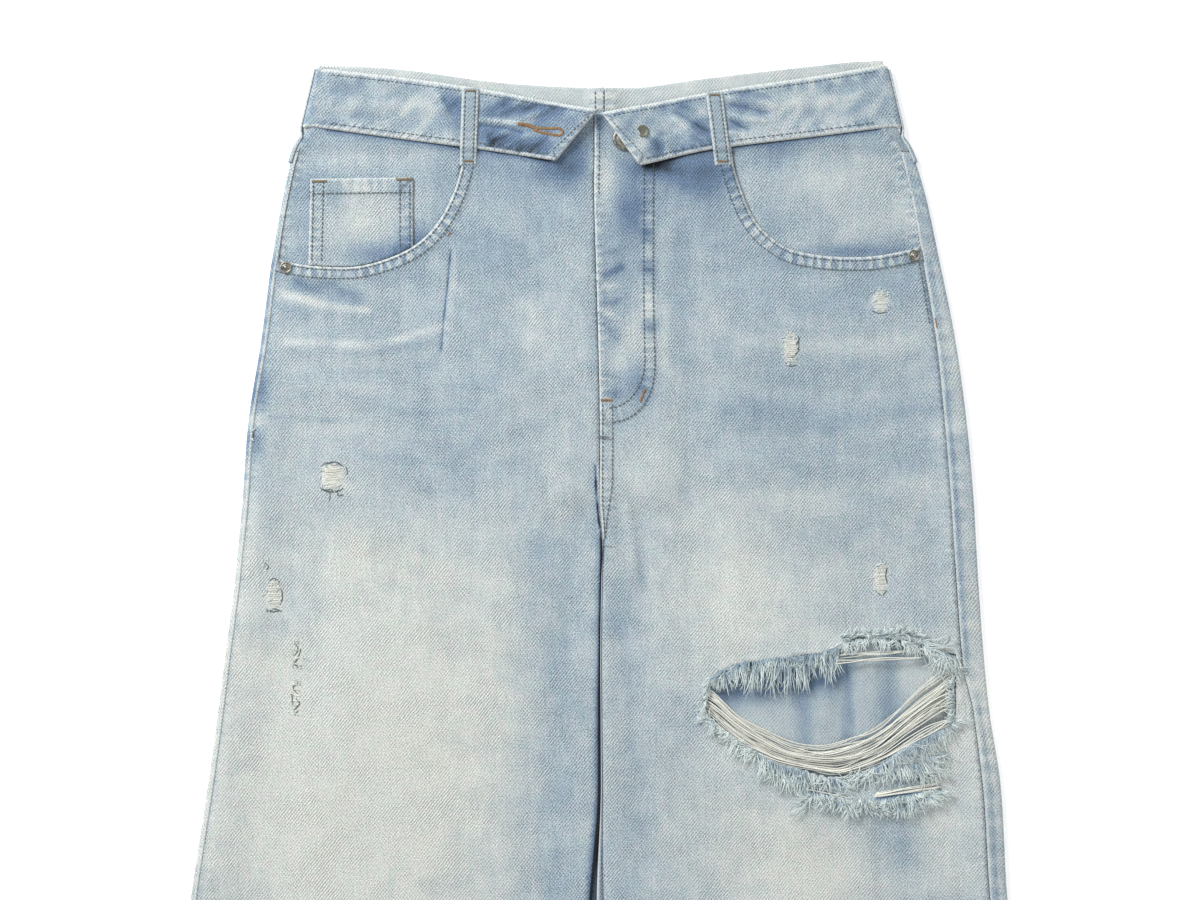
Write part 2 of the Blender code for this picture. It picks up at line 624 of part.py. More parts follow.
# ---- metal ---------------------------------------------------------------------------
def build_metal(silver, bronze):
    for side, name in ((RIGHT, "rivet_right"), (LEFT, "rivet_left")):
        x, down = RIVET_AT[side]
        base = z_front(side, x, down) + WALL / 2 + GAP
        turned(name, (x, down), base, ((0, 0), (4.0, 0), (4.5, 0.35), (4.1, 0.9), (3.2, 0.95),
                                       (2.4, 0.6), (1.6, 0.75), (0.9, 1.3), (0, 1.4)), silver)
    x, down = BUTTON_AT
    base = Z_FLY + WALL / 2 + GAP
    rim, tall = BUTTON_RADIUS, BUTTON_HEIGHT
    turned("button_head", BUTTON_AT, base, ((0, 0), (5.4, 0), (rim - 0.3, 0.5), (rim, 1.1),
                                            (rim - 0.6, tall), (5.2, tall), (0, tall)),
           silver, segments=24)
    x, down = TACK_AT
    base = z_front(LEFT, x, down) + BAND_RISE + flap_lift(x, down) + BAND_WALL / 2 + GAP
    turned("button_tack", TACK_AT, base, ((0, 0), (4.2, 0), (4.6, 0.3), (4.1, 0.8), (3.2, 0.7),
                                          (0, 0.6)), bronze)


def main():
    for old in list(bpy.data.objects):
        bpy.data.objects.remove(old, do_unlink=True)

    denim = material("light_denim", (0.47, 0.56, 0.63), 0.9)
    shade = material("unfaded_denim", (0.30, 0.40, 0.52), 0.9)
    under = material("back_denim", (0.36, 0.46, 0.56), 0.9)
    thread = material("cream_thread", (0.74, 0.71, 0.62), 0.95)
    silver = material("antique_silver", (0.45, 0.45, 0.43), 0.35, 1.0)
    bronze = material("dull_bronze", (0.33, 0.28, 0.24), 0.45, 1.0)

    hole = smooth(RIP_UPPER, 14.0) + smooth(RIP_LOWER, 14.0)[::-1]
    build_front(RIGHT, "front_right", denim)
    build_front(LEFT, "front_left", denim, hole=hole)

    yoke_rows = [back_top, lambda x: mix(back_top(x), band_low_back(x), 0.5),
                 lambda x: band_low_back(x) + 1.5, lambda x: band_low_back(x) + 10,
                 lambda x: yoke_seam(abs(x)) - GAP / 2]
    back_rows = [lambda x: yoke_seam(abs(x)) + GAP / 2]
    back_rows += [level(v) for v in (94, 103, 150, 200, 228, 256, 266, 300, 335, 360, 376, 394)]
    back_rows += [level(v) for v in between(430.0, LENGTH, 11)]
    for side, word in ((RIGHT, "right"), (LEFT, "left")):
        build_back(side, "yoke_" + word, yoke_rows, under)
        build_back(side, "back_" + word, back_rows, under)
        build_back_pocket(side, "back_pocket_" + word, shade)
        build_facing(side, "pocket_facing_" + word, shade)
        build_band(side, "waistband_" + word, denim)
        build_front_loop(side, "belt_loop_front_" + word, shade)
        build_side_loop(side, "belt_loop_side_" + word, shade)
    build_coin_pocket(denim)
    build_shield(shade)
    build_back_loop(shade)
    build_rip(denim, thread)
    build_metal(silver, bronze)


main()
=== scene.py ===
"""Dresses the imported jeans: cloth shells, stitching, torn threads, metal fittings, stage.

The jeans lie flat, front up. +X is the wearer's left, +Y runs to the waist, +Z is up.
Cloth is worked out in millimetres as (x, down, z), where `down` is the distance below the
highest point of the waist; world() turns that into the frame's metres.
"""
import math
from functools import partialmethod

import bpy
import numpy as np
from bpy.props import FloatProperty, FloatVectorProperty, IntProperty, PointerProperty
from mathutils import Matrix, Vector
from mathutils.geometry import delaunay_2d_cdt

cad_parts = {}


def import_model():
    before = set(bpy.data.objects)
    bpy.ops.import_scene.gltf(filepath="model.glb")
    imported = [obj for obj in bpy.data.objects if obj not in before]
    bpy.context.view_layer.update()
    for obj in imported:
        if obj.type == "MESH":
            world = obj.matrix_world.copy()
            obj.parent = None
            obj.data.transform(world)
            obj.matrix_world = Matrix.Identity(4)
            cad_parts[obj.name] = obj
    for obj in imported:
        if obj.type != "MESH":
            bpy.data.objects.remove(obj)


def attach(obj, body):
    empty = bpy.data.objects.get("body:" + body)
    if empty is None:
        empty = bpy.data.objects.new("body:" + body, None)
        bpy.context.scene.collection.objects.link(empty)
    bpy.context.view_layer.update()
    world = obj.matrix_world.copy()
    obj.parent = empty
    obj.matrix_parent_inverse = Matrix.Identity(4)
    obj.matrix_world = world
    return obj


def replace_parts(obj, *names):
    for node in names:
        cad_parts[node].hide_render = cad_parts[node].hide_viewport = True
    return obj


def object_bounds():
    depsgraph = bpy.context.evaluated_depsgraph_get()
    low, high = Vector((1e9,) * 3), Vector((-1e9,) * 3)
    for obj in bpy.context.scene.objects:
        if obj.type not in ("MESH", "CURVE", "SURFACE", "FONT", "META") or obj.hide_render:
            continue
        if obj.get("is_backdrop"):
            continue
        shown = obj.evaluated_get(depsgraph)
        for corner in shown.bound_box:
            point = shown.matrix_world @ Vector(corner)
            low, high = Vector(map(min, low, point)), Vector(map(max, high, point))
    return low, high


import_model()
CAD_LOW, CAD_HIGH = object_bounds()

bl_info = {"name": "Ripped jeans", "version": (1, 0, 0), "blender": (4, 5, 0),
    "location": "View3D > Sidebar > Jeans",
    "description": "Builds laid-flat ripped jeans round their packed solids", "category": "Object"}

MM = 0.001                           # metres in a millimetre
RIGHT, LEFT = -1, 1                  # wearer's sides, as the sign of X
SIDES = (RIGHT, LEFT)
WORD = {RIGHT: "right", LEFT: "left"}

# ---- sizes of the solids, millimetres ----
LENGTH = round((CAD_HIGH.y - CAD_LOW.y) * 1000)
TOP_Y = LENGTH / 2
WALL, BAND_WALL, GAP = 1.2, 1.8, 0.3
PITCH = WALL + 0.4
CROTCH = 374
Z_BACK = WALL / 2
Z_BAND_BACK = BAND_WALL / 2
Z_BACK_ON_BAND = BAND_WALL + GAP + WALL / 2
Z_HIP = Z_BACK + 3 * PITCH
Z_FLY = Z_HIP + 0.4
Z_LEG = Z_BACK + PITCH + 0.3
Z_INSEAM = 4.2
Z_RIP = 5
BAND_RISE = (WALL + BAND_WALL) / 2 + GAP
BACK_SEAM_X = 2
BACK_LOOP_END = 75
LOOP_WIDTH = 11.5
FRONT_LOOP = 57                      # length of a front loop
BAND_WIDTH = 45
FLY_FOOT = 281
FINE_END = 660                       # meshes are coarser below this level

# Level, then the outer edges, how far in the side seams lie, and the inner edges: each on
# the wearer's right and left
LEVELS = ((0, 210.8, 210.8, 4.2, 9.5, -6, -5.7), (51, 221.8, 221.8, 4.2, 10.5, -5.8, -5.5),
    (64, 230.2, 230.4, 4.2, 8.5, -5.7, -5.4), (90, 237.2, 240, 4.2, 10.5, -6.1, -5.8),
    (150, 248, 253.5, 4.6, 12.5, -4.7, -4.4), (210, 256, 265.5, 4.8, 14.5, -2.9, -2.6),
    (270, 265.5, 273.8, 4.4, 16.5, -1.7, -1.4), (330, 270, 279.2, 4.6, 17, -1.6, -1.3),
    (362, 273, 281, 4.4, 16.8, 0.5, 0.8), (390, 275.8, 282.6, 4.2, 16.5, -0.4, 0),
    (450, 283.5, 287, 4.2, 16.5, -1.2, -0.7), (490, 288.6, 291.2, 4.4, 12, -1, -0.4),
    (540, 295.5, 299, 4.4, 13.5, -0.9, 0), (630, 309, 304.6, 4.4, 13, -7.5, 0.9),
    (860, 337, 332, 4.4, 12, -26, 20), (LENGTH, 354, 354, 4.4, 12, -44, 44))
# Distance from the middle, then the band's fold and its lower edge, each right and left
WAIST = ((0, 38.5, 40, 79.5, 84.5), (30, 33, 34, 75, 77.6), (75, 24.4, 25.2, 68, 66.8),
    (98, 20.5, 21.2, 64.6, 63.4), (155, 12.6, 13, 57.2, 56.6), (215, 6.2, 3, 49, 49))
BACK_TOP = ((-215, 5.2), (-196, 4.2), (-151, 7.5), (-106, 13.5), (-61, 18), (-5, 20.3), (28, 20.2),
    (73, 14.2), (118, 9), (163, 4.5), (208, 0))
BAND_LOW_BACK = ((-215, 50.5), (-150, 53), (-61, 64), (-5, 66.3), (28, 66.2), (73, 60.5), (150, 52),
    (215, 50.5))
BAND_OUTER = ((0, 213.6), (5, 214.6), (50, 225.2))
FLAP_END = {RIGHT: (-4.4, -35), LEFT: (0.8, 28.5)}
YOKE_SEAM = ((0, 88), (235, 68))
MOUTH = {RIGHT: ((103, 60), (105, 78), (110.3, 96.8), (121.5, 119.3), (136.5, 135.8), (159, 147.8),
    (192.8, 155), (219, 153.8), (239, 150.6)),
    LEFT: ((96.5, 60), (98.6, 78), (105.5, 100.1), (112.7, 116.4), (121.8, 128.1), (139.8, 140.8),
    (157.9, 145.3), (177.8, 147.3), (194, 147.4), (212.1, 145.6), (236, 140.8))}
LOOP_FRONT = {RIGHT: (-98.5, -100.5), LEFT: (84, 91)}
RIVET_AT = {RIGHT: (-237, 155), LEFT: (234, 146)}
BUTTON_AT = (16.5, 58.5)
TACK_AT = (30.2, 53.3)

# The torn hole, its upper fringe, and the top one of the threads that still cross it
RIP_UPPER = ((77.5, 478), (80, 468.5), (101, 453.5), (123, 450), (152, 445.5), (177, 441.5),
    (190, 433), (209, 432.8), (229, 435), (248, 440), (266, 445))
RIP_LOWER = ((77.5, 491), (96, 505.5), (118.5, 520.5), (148.5, 531.5), (178.5, 537.5), (208.5, 528),
    (238.5, 506), (266, 494))


# ---- curves and blends ----
def profile(rows):
    """Smooth curve through (station, value) rows, held level past its two ends."""
    at = np.array([row[0] for row in rows], float)
    value = np.array([row[1] for row in rows], float)
    chord = np.diff(value) / np.diff(at)
    inner = np.where(chord[:-1] * chord[1:] > 0, (chord[:-1] + chord[1:]) / 2, 0)
    slope = joined(chord[:1], inner, chord[-1:])

    def curve(station):
        s = np.clip(np.asarray(station, float), at[0], at[-1])
        i = np.clip(np.searchsorted(at, s, side="right") - 1, 0, len(at) - 2)
        step = at[i + 1] - at[i]
        u = (s - at[i]) / step
        return (value[i] * (1 + 2 * u) * (1 - u) ** 2 + slope[i] * step * u * (1 - u) ** 2
            + value[i + 1] * u * u * (3 - 2 * u) - slope[i + 1] * step * u * u * (1 - u))
    return curve


def mix(a, b, weight):
    return a + (b - a) * weight


def table(*columns):
    """The columns side by side, with single numbers repeated to their length."""
    return np.stack(np.broadcast_arrays(*columns), axis=-1)


def joined(*parts):
    return np.concatenate(parts)


def run_along(points):
    """Distance along a polyline at each of its points."""
    return joined([0], np.cumsum(np.linalg.norm(np.diff(points, axis=0), axis=1)))


def fade(value, full, none):
    """1 up to `full`, easing to 0 at `none`, whichever of the two is larger."""
    u = np.clip((np.asarray(value, float) - full) / (none - full), 0, 1)
    return 1 - u * u * (3 - 2 * u)


def hump(value, width):
    return np.exp(-(np.asarray(value) / width) ** 2)


def both_sides(rows, first):
    """Curves of two neighbouring columns: the wearer's right, then left."""
    return {side: profile([(row[0], row[first + (side > 0)]) for row in rows]) for side in SIDES}


OUTER, SEAM, INNER = (both_sides(LEVELS, first) for first in (1, 3, 5))
FOLD, LOW = (both_sides(WAIST, first) for first in (1, 3))
back_top = profile(BACK_TOP)
band_low_back = profile(BAND_LOW_BACK)
band_outer = profile(BAND_OUTER)
yoke_seam = profile(YOKE_SEAM)

LATTICE = np.random.RandomState(7).uniform(-1, 1, (256, 256))


def ripple(x, y, length_x, length_y=None, seed=0):
    """Smooth noise from -1 to 1 with waves of about the given lengths."""
    u = np.asarray(x, float) / length_x + seed * 17.3
    v = np.asarray(y, float) / (length_y or length_x) + seed * 5.7
    u, v = np.broadcast_arrays(u, v)
    i, j = np.floor(u).astype(int), np.floor(v).astype(int)
    fu, fv = u - i, v - j
    fu, fv = fu * fu * (3 - 2 * fu), fv * fv * (3 - 2 * fv)
    i0, i1, j0, j1 = i % 256, (i + 1) % 256, j % 256, (j + 1) % 256
    return ((LATTICE[i0, j0] * (1 - fu) + LATTICE[i1, j0] * fu) * (1 - fv)
        + (LATTICE[i0, j1] * (1 - fu) + LATTICE[i1, j1] * fu) * fv)


# ---- lines on the cloth ----
def smooth(points, step):
    """A curve through all the points, evenly sampled."""
    points = np.asarray(points, float)
    run = run_along(points)
    at = np.linspace(0, run[-1], max(2, round(run[-1] / step) + 1))
    return table(*(profile(list(zip(run, column)))(at) for column in points.T))


def even(points, step=1, count=None):
    """The same polyline with its points about `step` apart, or `count` of them."""
    points = np.asarray(points, float)
    run = run_along(points)
    at = np.linspace(0, run[-1], count or max(2, round(run[-1] / step) + 1))
    return table(*(np.interp(at, run, column) for column in points.T))


def heading(points):
    """Directions of unit length along a polyline."""
    along = np.gradient(points, axis=0)
    return (along / np.linalg.norm(along, axis=1)[:, None]).T


def offset(points, reach):
    """The polyline moved sideways, to the left of its run as seen with +down upwards."""
    points = np.asarray(points, float)
    along_x, along_down = heading(points)
    return points + reach * table(-along_down, along_x)


def to_line(x, down, line):
    """Distance of each point to a polyline, and how far along it the nearest place is."""
    x, down = np.broadcast_arrays(np.asarray(x, float), np.asarray(down, float))
    shape = x.shape
    p = table(x.ravel(), down.ravel())
    line = np.asarray(line, float)
    run = run_along(line)
    best, at = np.full(len(p), 1e9), np.zeros(len(p))
    for a, b, start in zip(line[:-1], line[1:], run[:-1]):
        span = b - a
        size = max(span @ span, 1e-12)
        u = np.clip(((p - a) @ span) / size, 0, 1)
        gap = np.hypot(p[:, 0] - a[0] - u * span[0], p[:, 1] - a[1] - u * span[1])
        near = gap < best
        best[near], at[near] = gap[near], start + u[near] * math.sqrt(size)
    return best.reshape(shape), at.reshape(shape)


def inside(x, down, ring):
    ring = np.asarray(ring)
    hit = np.zeros(np.shape(x), bool)
    for (ax, ay), (bx, by) in zip(ring, np.roll(ring, -1, axis=0)):
        if ay == by:
            continue
        cross = (ay > down) != (by > down)
        hit ^= cross & (x < ax + (down - ay) * (bx - ax) / (by - ay))
    return hit


# ---- creases and heights of the layers ----
def figures(text):
    """The numbers of a table, from text with one row to a line."""
    return [tuple(map(float, line.split())) for line in text.strip().split("\n")]


def lined(text):
    """(line, number, number) from rows of the two numbers and the line's x, down, x, down."""
    return [(np.reshape(row[2:], (-1, 2)), *row[:2]) for row in figures(text)]


# Half width and height of each crease, then its line: below zero is a trough
CREASES = lined("""
3.2 1.3 -113 123 -108 125 -101 131
2.6 -0.7 -116 128 -106 133
1.2 -0.6 -113.5 142 -116 170 -118.5 192 -120.5 216
1.6 -0.5 -105 115 -103 127
5 0.9 19 336 21 358 24 384
1 -0.8 -4.9 304 -4.3 325 -2.4 344 0.2 358
4 -0.5 29 340 32 372 33 400
9 -0.7 -12 330 -22 390 -36 470
10 -0.8 12 400 20 480 34 600
3.5 0.5 -240 176 -205 181 -180 190
6 0.5 -250 213 -190 217 -128 208
6 -0.4 -246 226 -180 232 -120 226
6 0.45 150 214 205 220 262 212
7 -0.4 120 240 200 250 268 240
14 0.7 -70 250 -85 330 -80 420
16 0.8 96 230 102 330 98 430
22 0.9 -190 360 -200 470 -215 640
18 -0.7 -120 430 -112 560 -118 690
15 -0.6 66 470 62 560 70 690
8 -0.7 278 330 284 430 290 540
18 0.9 150 590 160 680 176 800
24 1.4 -160 720 -190 860 -200 1040
26 1.5 120 740 168 880 196 1060
20 -1 -90 780 -104 900 -100 1020
22 -1 230 760 250 880 262 1010
4.5 -0.8 207 574 209 620 213 680
1.5 -0.5 155 546 168 549.5 181 551
1.5 -0.5 207 552.5 230 549.5 253 545
""")
BAND_CREASES = lined("""
1.3 0.75 -91 44 -75 45.5 -60 48
1.8 -0.9 -91 48.5 -72 50.5 -60 54
2 0.6 -90 62 -78 56 -70 53
2.2 0.6 -80 68 -68 62 -58 57
2 0.6 -76 38 -66 34 -60 29
2.2 0.6 -62 44 -50 40 -40 36
1.6 -0.6 -84 60 -72 57
2.4 -0.6 -58 36 -44 33 -28 36
2.4 -0.5 -62 70 -50 64 -42 60
2.4 -0.6 -118 30 -112 40
2.2 0.5 -124 26 -117 38
1.8 -0.9 56 39 68 46 80 53
2 0.6 54 44 64 51 78 59
2.2 0.5 62 32 72 36 80 42
1.4 -1 97 45 104 49 110 52
1.8 0.6 96 40 108 44 122 45
1.8 -0.7 96 33 110 36 124 39
2 0.5 96 28 112 30 130 34
2.2 -0.5 98 22 112 24 126 28
1.6 0.5 96 54 106 56
2.6 -0.5 34 58 42 64 44 74
2.4 0.5 38 56 48 60 50 70
4.5 0.35 -200 30 -150 34 -118 36
3 -0.3 -205 40 -160 44
5 0.35 140 34 180 28 208 20
""")


def creased(x, down, creases):
    total = 0
    for line, width, height in creases:
        away, _ = to_line(x, down, line)
        total = total + height * hump(away, width)
    return total


def relief(x, down):
    """Unevenness and creases that run through every layer of the front."""
    height = creased(x, down, CREASES) + 0.3 * ripple(x, down, 52, 70, 1)
    return height + 0.13 * ripple(x, down, 17, 22, 2)


def back_relief(x, down):
    """Soft folds of the back, deepest where the torn hole shows them."""
    folds = hump(x - 166, 11) + 0.9 * hump(x - 200, 10) + 0.7 * hump(x - 118, 20)
    folds = folds + 0.6 * hump(x - 238, 12)
    show = fade(np.abs(down - 490), 70, 150)
    return 1.7 * folds * show + 0.25 * np.abs(ripple(x, down, 60, 90, 3))


def inner_x(side, down, top):
    if top:
        return INNER[side](down)
    return mix(INNER[side](down), BACK_SEAM_X, fade(down, 180, 340))


def across(side, x, down):
    inner = inner_x(side, down, top=False)
    return (x - inner) / (side * OUTER[side](down) - inner)


def z_back(side, x, down):
    """Middle of the back: flat on the surface, lifted by the band, loop and pocket."""
    z = mix(Z_BACK, Z_BACK_ON_BAND, fade(down, band_low_back(x) + 1.5, band_low_back(x) + 10))
    f = across(side, x, down)
    z = z + (WALL + GAP) * fade(f, 0.035, 0.06) * fade(down, BACK_LOOP_END + 1, 87)
    over_pocket = fade(f, 0.12, 0.06) * fade(f, 0.8, 0.87)
    over_pocket = over_pocket * fade(down, 103, 94) * fade(down, 256, 266)
    free = fade(f, 0.12, 0.03) * fade(f, 0.86, 0.97) * fade(down, 285, 255)
    return z + PITCH * over_pocket + free * back_relief(x, down)


def z_front(side, x, down):
    """Middle of the front: high on the pockets and folded edges, low on the legs."""
    z = mix(Z_LEG, Z_HIP, fade(down, 165, 350))
    centre = INNER[LEFT](np.minimum(down, CROTCH))
    fly = fade(x, centre + 44, centre + 70) * fade(x, centre - 20, centre - 44)
    z = mix(z, Z_FLY, fly * fade(down, 315, 345))
    edge = np.abs(x - INNER[side](down))
    z = mix(z, Z_INSEAM, fade(edge, 5, 34) * fade(down, 390, 340))
    z = mix(z, Z_HIP, fade(OUTER[side](down) - side * x, 8, 42))
    rip = np.hypot((x - 172) / 118, (down - 490) / 78)
    z = mix(z, np.maximum(z, Z_RIP), fade(rip, 0.75, 1.6))
    calm = fade(OUTER[side](down) - side * x, 24, 14)
    calm = calm * mix(fade(edge, 12, 2), 1, fade(down, 300, 345))
    return z + calm * relief(x, down)


def z_facing(side, x, down):
    return z_front(side, x, down) - PITCH * fade(down, 71, 60)


def pillow(edge, radius):
    """How far cloth drops where it rolls over at an edge `edge` away."""
    inner = radius - np.clip(edge, 0, radius)
    return radius - np.sqrt(np.maximum(radius * radius - inner * inner, 0))


# ---- edges of the front ----
def seam_x(side, down, gap=0.12):
    return side * (OUTER[side](down) - SEAM[side](down) - gap)


def mouth(side, reach, step=2.5):
    """The pocket mouth from waist fold to side seam, moved `reach` away from the hand."""
    points = [(side * x, down) for x, down in MOUTH[side]]
    start = (points[0][0], float(FOLD[side](abs(points[0][0]))) + GAP)
    curve = smooth([start] + points, step)
    curve = np.vstack([curve, [seam_x(side, curve[-1, 1] - 1.5), curve[-1, 1] - 1.5]])
    along_x, along_down = heading(curve)
    out = reach(curve[:, 1]) if callable(reach) else reach
    return curve + table(-side * along_down * out, np.abs(along_x) * out)


def stations(top, bottom, step=3, far=8):
    """Levels from top to bottom: close together down to FINE_END, wider apart below."""
    turn = min(FINE_END, bottom)
    near = np.linspace(top, turn, max(2, round((turn - top) / step)))
    if bottom <= FINE_END:
        return near
    return joined(near, np.linspace(turn, bottom, round((bottom - turn) / far))[1:])


def front_ring(side):
    """Outline of a front panel in plan, and the level at which its side seam starts."""
    centre = lambda down: INNER[side](down) + side * GAP / 2
    mouth_edge = mouth(side, 0)
    x = np.linspace(float(centre(40)), mouth_edge[0, 0], 34)
    waist = table(x, FOLD[side](np.abs(x)) + GAP)
    down = stations(mouth_edge[-1, 1], LENGTH)
    side_edge = table(seam_x(side, down), down)
    x = np.linspace(side_edge[-1, 0], float(centre(LENGTH)), 36)
    hem = table(x, LENGTH)
    down = stations(waist[0, 1], LENGTH)[::-1]
    inner = table(centre(down), down)
    return np.vstack([waist[:-1], mouth_edge, side_edge[1:], hem[1:], inner[1:-1]])


# The lines sewn on the fronts, each from its upper end
FLY_EDGE = table(INNER[LEFT](np.linspace(42, FLY_FOOT, 60)) + 0.2, np.linspace(42, FLY_FOOT, 60))
J_OUTER = smooth(((38.6, 76), (38.2, 140), (38.6, 190), (39.6, 228), (37, 246), (30.5, 259),
    (19, 268), (5, 271.5)), 2)
J_INNER = smooth(((31.6, 76), (31.2, 140), (31.4, 190), (32, 224), (29, 241), (21, 253), (12, 259),
    (4, 260.5)), 2)
MOUTH_EDGE = {side: mouth(side, 0) for side in SIDES}


def rolled(side, reach, down, top):
    """Places `reach` along the cloth from the inseam, round its rolled inner edge."""
    radius = (Z_INSEAM - Z_BACK) / 2 * fade(down, 392, 352)
    share = radius * 2 / (Z_INSEAM - Z_BACK)
    height = z_front if top else z_back
    reach = np.maximum(reach, mix(GAP / 2, GAP * 1.5, share))
    quarter = radius * math.pi / 2
    angle = np.minimum(reach, quarter) / np.maximum(radius, 1e-6)
    turning = (reach < quarter) & (radius > 1e-6)
    x = inner_x(side, down, top) + side * (WALL / 2 * share
        + np.where(turning, radius * (1 - np.cos(angle)), radius + reach - quarter))
    turn = np.where(turning, radius * (1 - np.sin(angle)), 0)
    flat = height(side, x, down)
    return x, flat - turn if top else flat + turn


def outer_fold(side, down):
    edge = side * OUTER[side](down)
    low, high = z_back(side, edge, down), z_front(side, edge, down)
    radius = (high - low) / 2
    return edge - side * (radius + WALL / 2), (high + low) / 2, radius


# ---- fading and painted shadow ----
# Soft patches: x, down, half width across, half width down, paler and, if so, warmer. Most are
# fading. The dark ones round the band's flaps, loops and fly, from down 48 to 104, the dark gap
# between the flap ends, and a few round the torn knee are painted shadow. The light ones by the
# flaps are painted light against shade
FADES_AND_SHADOWS = figures("""
-150 470 120 110 0.34 0.35
-200 600 130 120 0.3 0.35
-190 360 60 40 0.12 0.15
-215 280 45 30 0.16 0.1
-235 205 20 30 0.16
-28 235 26 90 0.12 0.1
-92 215 34 70 -0.04
-52 200 10 30 0.14
-92 105 26 24 0.12
-58 88 30 14 -0.2 -0.1
-34 80 12 12 -0.35 -0.1
-32 480 24 120 -0.24 -0.26
-40 600 30 80 -0.14 -0.2
-46 366 12 40 -0.16 -0.2
-120 560 40 60 0.06 0.25
-255 560 30 60 0.06 0.1
-256 247 6 15 -0.6 -0.3
-258 269 7 5 0.4 0.1
-259 286 5 10 -0.5 -0.2
-268 620 12 80 -0.06
-170 160 60 14 -0.06
-150 172 70 10 0.1
-120 305 60 30 -0.06 -0.05
-40 330 30 50 0.12 0.1
26 100 9 26 -0.3 -0.15
84 86 18 26 -0.26 -0.1
46 82 18 12 -0.34 -0.1
60 130 22 60 0.1 0.05
13 150 11 80 -0.17 0.05
29 243 12 12 -0.62 -0.2
10 250 6 5 -0.5 -0.1
22 204 9 20 0.3 0.3
13 224 8 10 0.34 0.1
36 178 5 5 0.38
36 199 6 5 -0.6 -0.1
36 187 5 5 0.38
35 120 4 4 0.3
35 143 4 4 0.3
18 215 10 30 -0.06
62 330 30 40 0.16 0.15
34 131 5 6 -0.5 -0.1
35 156 5 6 -0.5 -0.1
16 440 14 80 -0.12 -0.2
24 600 24 90 -0.08 -0.25
96 400 44 60 0.26 0.3
150 400 60 46 0.1 0.2
100 600 60 70 0.24 0.3
170 618 50 40 0.28 0.45
150 285 70 44 -0.1 -0.05
165 500 100 60 0.12
214 300 50 30 0.04
214 212 44 24 0.14 0.05
48 232 16 30 0.18 0.1
150 335 30 20 0.14 0.1
262 280 14 46 0.16 0.05
262 390 20 50 -0.1 -0.1
276 480 18 70 -0.04 -0.05
258 215 12 44 -0.12 -0.1
140 205 46 40 -0.02
152 575 16 16 -0.04 0.3
-246 460 26 30 0.08 0.1
0 900 400 200 -0.1 -0.2
-175 840 70 180 0.16 0.2
185 850 70 180 0.16 0.2
44 284 22 26 0.2 0.1
26 314 26 24 0.2 0.1
134 314 26 16 0.1
-20 142 24 28 0.12
288 440 22 80 0.38 0.1
250 464 26 30 0.28 0.1
220 458 16 12 0.14
-230 315 16 40 0.1
256 545 14 50 0.24
223 590 14 20 -0.3
-258 455 12 16 0.1
103 515 16 14 0.2
-2 48 4 7 -0.7
2 92 9 20 0.5 0.1
24 120 11 16 -0.34
-23 84 9 14 -0.3
66 88 22 17 -0.52
-24 80 20 8 -0.4
-16 66 9 13 -0.55
38 80.5 17 5 -0.6
90 78 20 9 -0.35
-91 76 14 9 -0.25
13 479 12 40 0.14
118 569 40 14 0.12
163 432 40 10 0.12 0.1
-268 370 12 90 0.14
264 540 24 90 0.2 0.1
295 480 18 110 0.2 0.1
-195 226 45 11 0.16
-120 240 16 22 0.14
-120 164 12 14 0.12
150 164 34 8 0.14
90 226 14 14 -0.12
46 254 16 14 -0.12
88 268 16 20 -0.1
-32 378 14 22 -0.06
268 284 10 12 -0.1
-8 300 8 50 0.1
44 134 8 10 0.12
88 104 9 8 0.16
-246 345 12 30 0.08
140 610 50 10 0.06
-9 74 9 9 0.22
44 74 12 10 -0.18
14 76 8 8 -0.12
14 104 8 12 -0.15
-226 164 26 10 0.13
178 254 12 8 0.1
268 390 9 50 0.13 0.1
208 569 16 10 -0.1
268 540 10 34 -0.14
238 569 10 14 0.14
178 569 12 10 0.12
88 374 14 12 -0.09
208 374 12 10 -0.1
-61 410 10 70 -0.09 -0.1
-61 194 12 40 0.08
""")
# How much paler than the front the turned edge of each back is, by level
EDGE_TONE = {RIGHT: profile(((60, 0), (85, 0.2), (125, 0.2), (148, 0), (215, 0), (320, 0.12),
    (450, 0.19), (600, 0.11))),
    LEFT: profile(((80, 0.1), (120, 0.08), (150, 0.26), (215, 0.3), (265, 0.14), (300, 0.05),
    (360, 0), (430, -0.1), (450, -0.2), (480, -0.14), (600, -0.07)))}
